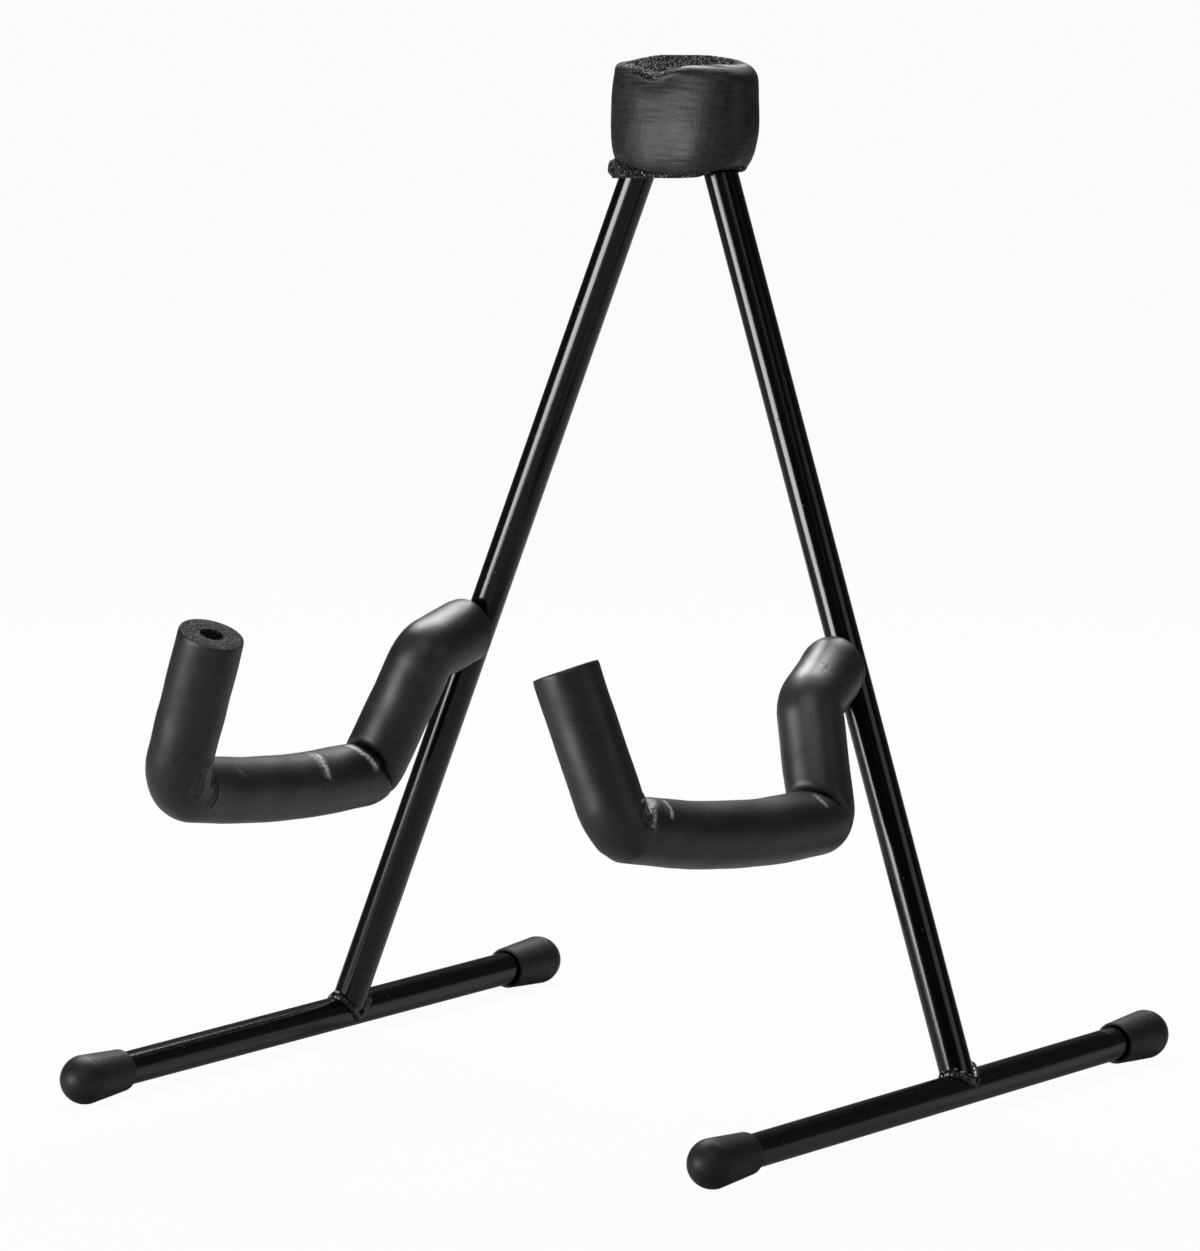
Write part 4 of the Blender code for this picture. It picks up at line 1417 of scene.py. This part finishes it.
    def build(self) -> None:
        """Build the cuff."""
        inside, curl = self.inside(), self.curl()
        skin, top = np.concatenate([self.wall(), self.shoulder()]), self.torn_top()
        uneven = self.wave * lumps(skin, 0.014, self.seed + 2)
        lines = skin * np.array([0.10, 0.10, 1.0])
        uneven += self.line_depth * lumps(lines, 0.0013, self.seed + 3, 40)
        below_rim = self.table(self.rim) - skin[..., 2]
        below = below_rim - self.dent_below
        uneven -= self.table(self.dent) * bell(below, np.where(below < 0.0, 0.9 * MM, 3.4 * MM))
        skin = skin + unit(skin * FLAT) * uneven[..., None]
        rough = self.curl_rough * lumps(curl, 0.0017, self.seed + 4, 40) + 0.1 * MM
        curl = curl + unit(curl * FLAT) * rough[..., None]
        piece = shell("foam_cuff", in_hinge(np.concatenate([inside, curl, skin, top])))
        piece.data.attributes.new("mark", "FLOAT", "POINT")
        first = len(inside) + len(curl) - 1
        covered = below_rim[:-1] > self.table(self.notch, 1.5)
        torn = np.ones(len(piece.data.polygons), dtype=bool)
        torn[first * self.sides:(first + 1) * self.sides] = False
        torn[(first + 1) * self.sides:(first + len(skin)) * self.sides] = ~covered.ravel()
        dress(piece, "hinge", "top_cuff", CUFF_SKIN, CUFF_CUT, choice=torn, fill=0.9)


# Stage


@dataclass(frozen=True)
class Softbox:
    """Area light aimed at a point of the stand, its glow the radiance of its face."""

    name: str
    azimuth: float
    distance: float
    height: float
    width: float
    tall: float
    glow: float
    aim: float

    def build(self) -> None:
        """Build the light; a face of radiance L gives off pi times L times its area."""
        light = bpy.data.lights.new(self.name, "AREA")
        light.shape, light.size, light.size_y = "RECTANGLE", self.width, self.tall
        light.energy = self.glow * math.pi * self.width * self.tall
        lamp = bpy.data.objects.new(self.name, light)
        bpy.context.scene.collection.objects.link(lamp)
        turn = math.radians(self.azimuth)
        lamp.location = (self.distance * math.sin(turn), -self.distance * math.cos(turn),
                         self.height)
        back = lamp.location - Vector((0.0, 0.0, self.aim))
        lamp.rotation_euler = back.to_track_quat("Z", "Y").to_euler()
        lamp.visible_camera = False


@dataclass
class Studio:
    """Plain pale floor, dim surroundings, soft lights and the camera."""

    floor_radius: float = 7.0
    floor_top: float = -0.0001
    floor_bottom: float = -0.0201
    floor_colour: float = 0.4
    camera_white: float = 0.96
    mirrored_white: float = 0.07
    horizon_glow: float = 0.9
    rear_glow: float = 0.06
    even_glow: float = 0.02
    softboxes: tuple[Softbox, ...] = (
        Softbox("low_softbox", -26.0, 1.5, 0.18, 0.85, 0.46, 17.0, 0.15),
        Softbox("rear_softbox", -160.0, 0.50, 0.92, 0.95, 0.5, 2.2, 0.12),
        Softbox("rear_key", -141.0, 0.66, 0.98, 0.78, 0.6, 10.0, 0.12),
        Softbox("front_fill", 28.0, 1.2, 1.35, 1.5, 1.0, 1.45, 0.12),
        Softbox("side_fill", 94.0, 1.7, 0.5, 0.95, 1.0, 1.1, 0.5),
    )
    target: Triple = (0.0, -0.008, 0.1379)
    direction: Triple = (0.5539, -0.8190, 0.1495)
    distance: float = 3.127
    lens: float = 305.96

    def floor(self) -> None:
        """Pale round floor that shows white to the camera and in reflections, shadow kept."""
        edge = [(self.floor_radius, self.floor_top), (self.floor_radius, self.floor_bottom)]
        disc = shell("floor", turned(np.array(edge), 64))
        material = bpy.data.materials.new("pale_floor")
        material.use_nodes = True
        graph = Graph(material.node_tree)
        plain = graph.node("ShaderNodeBsdfDiffuse", {"Color": (*(self.floor_colour,) * 3, 1.0)})
        white = graph.node("ShaderNodeEmission", {"Strength": 1.0})
        share = graph.seen(self.camera_white, self.mirrored_white)
        graph.end(graph.node("ShaderNodeMixShader", {0: share, 1: plain.outputs[0],
                                                     2: white.outputs[0]}))
        disc.data.materials.append(material)

    def surroundings(self) -> None:
        """World: pale in a low band round the horizon and dim above it."""
        world = bpy.data.worlds.new("studio")
        bpy.context.scene.world = world
        world.use_nodes = True
        graph = Graph(world.node_tree)
        place = graph.node("ShaderNodeTexCoord").outputs["Generated"]
        split = graph.node("ShaderNodeSeparateXYZ", {0: place})
        height, back = Wire(graph, split.outputs["Z"]), Wire(graph, split.outputs["Y"])
        low = graph.remap(height, 0.065, 0.15, self.horizon_glow, 0.0)
        behind = (graph.remap(back, 0.3, 0.9, 0.0, self.rear_glow)
                  * graph.remap(height, 0.35, 0.75, 1.0, 0.0))
        glow = low * graph.seen(1.0, self.mirrored_white) + behind + self.even_glow
        shade = graph.node("ShaderNodeBackground", {"Color": (1.0, 1.0, 1.0, 1.0),
                                                    "Strength": glow})
        graph.end(shade, "ShaderNodeOutputWorld")

    def camera(self) -> None:
        """Camera at the photograph's angle, with a long lens."""
        data = bpy.data.cameras.new("camera")
        data.lens, data.sensor_width, data.sensor_fit = self.lens, 36.0, "AUTO"
        data.clip_start, data.clip_end = 0.05, 60.0
        made = bpy.data.objects.new("camera", data)
        bpy.context.scene.collection.objects.link(made)
        back = Vector(self.direction).normalized()
        made.location = Vector(self.target) + back * self.distance
        made.rotation_mode = "QUATERNION"
        made.rotation_quaternion = (-back).to_track_quat("-Z", "Y")
        bpy.context.scene.camera = made

    def build(self) -> None:
        """Build the stage."""
        bpy.context.scene.view_settings.view_transform = "Standard"
        self.floor()
        self.surroundings()
        for softbox in self.softboxes:
            softbox.build()
        self.camera()


# What differs between the two sides

LEFT_PATH = HookPath(((0.0014, 0.1281), (0.0182, 0.1234), (0.02844, 0.08505),
                      (0.08232, 0.08630), (0.13236, 0.09582), (0.13621, 0.14595)),
                     (0.004, 0.0070, 0.0068, 0.46, 0.0147))
RIGHT_PATH = HookPath(((0.0012, 0.1279), (0.0187, 0.1196), (0.02886, 0.08626),
                       (0.07942, 0.08610), (0.12802, 0.09841), (0.13081, 0.14718)),
                      (0.004, 0.0080, 0.0057, 0.38, 0.0132))
BOTH_CREASES = (Crease(Bend.DROP, 2.2, 2.4, 150), Crease(Bend.TIP, 2.6, 3.4, 85))
LEFT_CREASES = (*BOTH_CREASES, Crease(Bend.ELBOW, 1.6, 2.8, 85, 0.4))
RIGHT_CREASES = (*BOTH_CREASES, Crease(Bend.NECK, 1.0, 2.4, 85, 0.4),
                 Crease(Bend.ELBOW, 1.2, 2.6, 75))
LEFT_WRINKLES = (
    # Pale line without depth along the drop crease's lip: a painted highlight.
    Wrinkle(Bend.DROP, ((-10, 11.8), (1, 11.7), (16, 11.3), (31, 9.7), (46, 8.6)), 0, 1,
            mark=1.0, mark_width=1.1),
    Wrinkle(Bend.DROP, ((0, 31.9), (12, 32.3), (27, 32.8), (38, 33.2), (50, 33.2)), 0.28, 1.6,
            0.1, 0.6, 0.7),
    Wrinkle(Bend.DROP, ((2, 33.4), (27, 34.1), (44, 34.3)), 0, 1, mark=0.35, mark_width=1.6),
    Wrinkle(Bend.TIP, ((26, -3.6), (42, -4.9), (61, -6.4), (83, -6.9), (97, -6.3)), 0.9, 1.2,
            0.3, 0.12),
    Wrinkle(Bend.TIP, ((84, 11.2), (92, 9.9), (105, 7.6), (115, 4.7), (116, 3.1), (105, 1.3)),
            0.8, 1.0, 0.2, 0.15),
    Wrinkle(Bend.TIP, ((90, 8.8), (94, 7.6), (96, 4.5), (99, 2.6)), 0.6, 0.9, 0.2, 0.1),
    Wrinkle(Bend.TIP, ((15, -22.2), (28, -22.6), (40, -24.2)), 0.1, 0.6, mark=0.1),
)
RIGHT_WRINKLES = (
    Wrinkle(Bend.NECK, ((38, 11.2), (58, 13.4)), 0.2, 0.8, mark=0.06),
    Wrinkle(Bend.NECK, ((46, 14.0), (50, 10.6)), 0.16, 0.7, mark=0.05),
    Wrinkle(Bend.DROP, ((46, 9.8), (59, 10.1), (68, 9.6)), 0.1, 0.8, mark=0.9, mark_width=0.7),
    Wrinkle(Bend.TIP, ((70, 6.0), (83, 5.2), (95, 3.4), (104, 2.2), (103, -0.7)), 1.0, 1.3, 0.3),
    Wrinkle(Bend.TIP, ((62, -1.9), (71, -3.7), (87, -2.4), (102, -1.4)), 0.6, 1.1, 0.2, 0.6, 0.6),
    Wrinkle(Bend.TIP, ((42, -12.5), (56, -12.1), (70, -11.6), (80, -10.6)), 0.3, 1.1, 0.15, 0.6,
            0.6),
    Wrinkle(Bend.TIP, ((78, 3.0), (88, 2.2), (84, 0.8)), 0.4, 0.8, mark=0.4, mark_width=0.5),
)
LEFT_LUMPS = (Lump(-100, 26, 0.6), Lump(-38, 9, 0.5), Lump(62, 20, 0.7))
RIGHT_LUMPS = (Lump(-64, 11, 1.0), Lump(-41, 8, 0.6), Lump(-21, 10, 0.9), Lump(-103, 9, 0.5),
               Lump(78, 22, 0.8))


def main() -> None:
    """Build every piece of the stand, then its stage."""
    logging.basicConfig(level=logging.INFO, format="%(message)s")
    for side, path, creases, wrinkles, blobs, shine in (
            (Side.LEFT, LEFT_PATH, LEFT_CREASES, LEFT_WRINKLES, LEFT_LUMPS, 0.3),
            (Side.RIGHT, RIGHT_PATH, RIGHT_CREASES, RIGHT_WRINKLES, RIGHT_LUMPS, 1.0)):
        SteelTubes(side).build()
        WeldBead(side, blobs, 5 + side.value).build()
        RubberCap(side, True, 11 + side.value).build()
        RubberCap(side, False, 15 + side.value).build()
        Hook(side, path, creases, wrinkles, shine, 31 + 3 * side.value).build()
        refinish(f"{side.word}_hook_weld", WELD_COAT)
    refinish("hinge_bracket", POWDER_COAT)
    HingeRivets().build()
    FoamCuff().build()
    Studio().build()


if __name__ == "__main__":
    main()
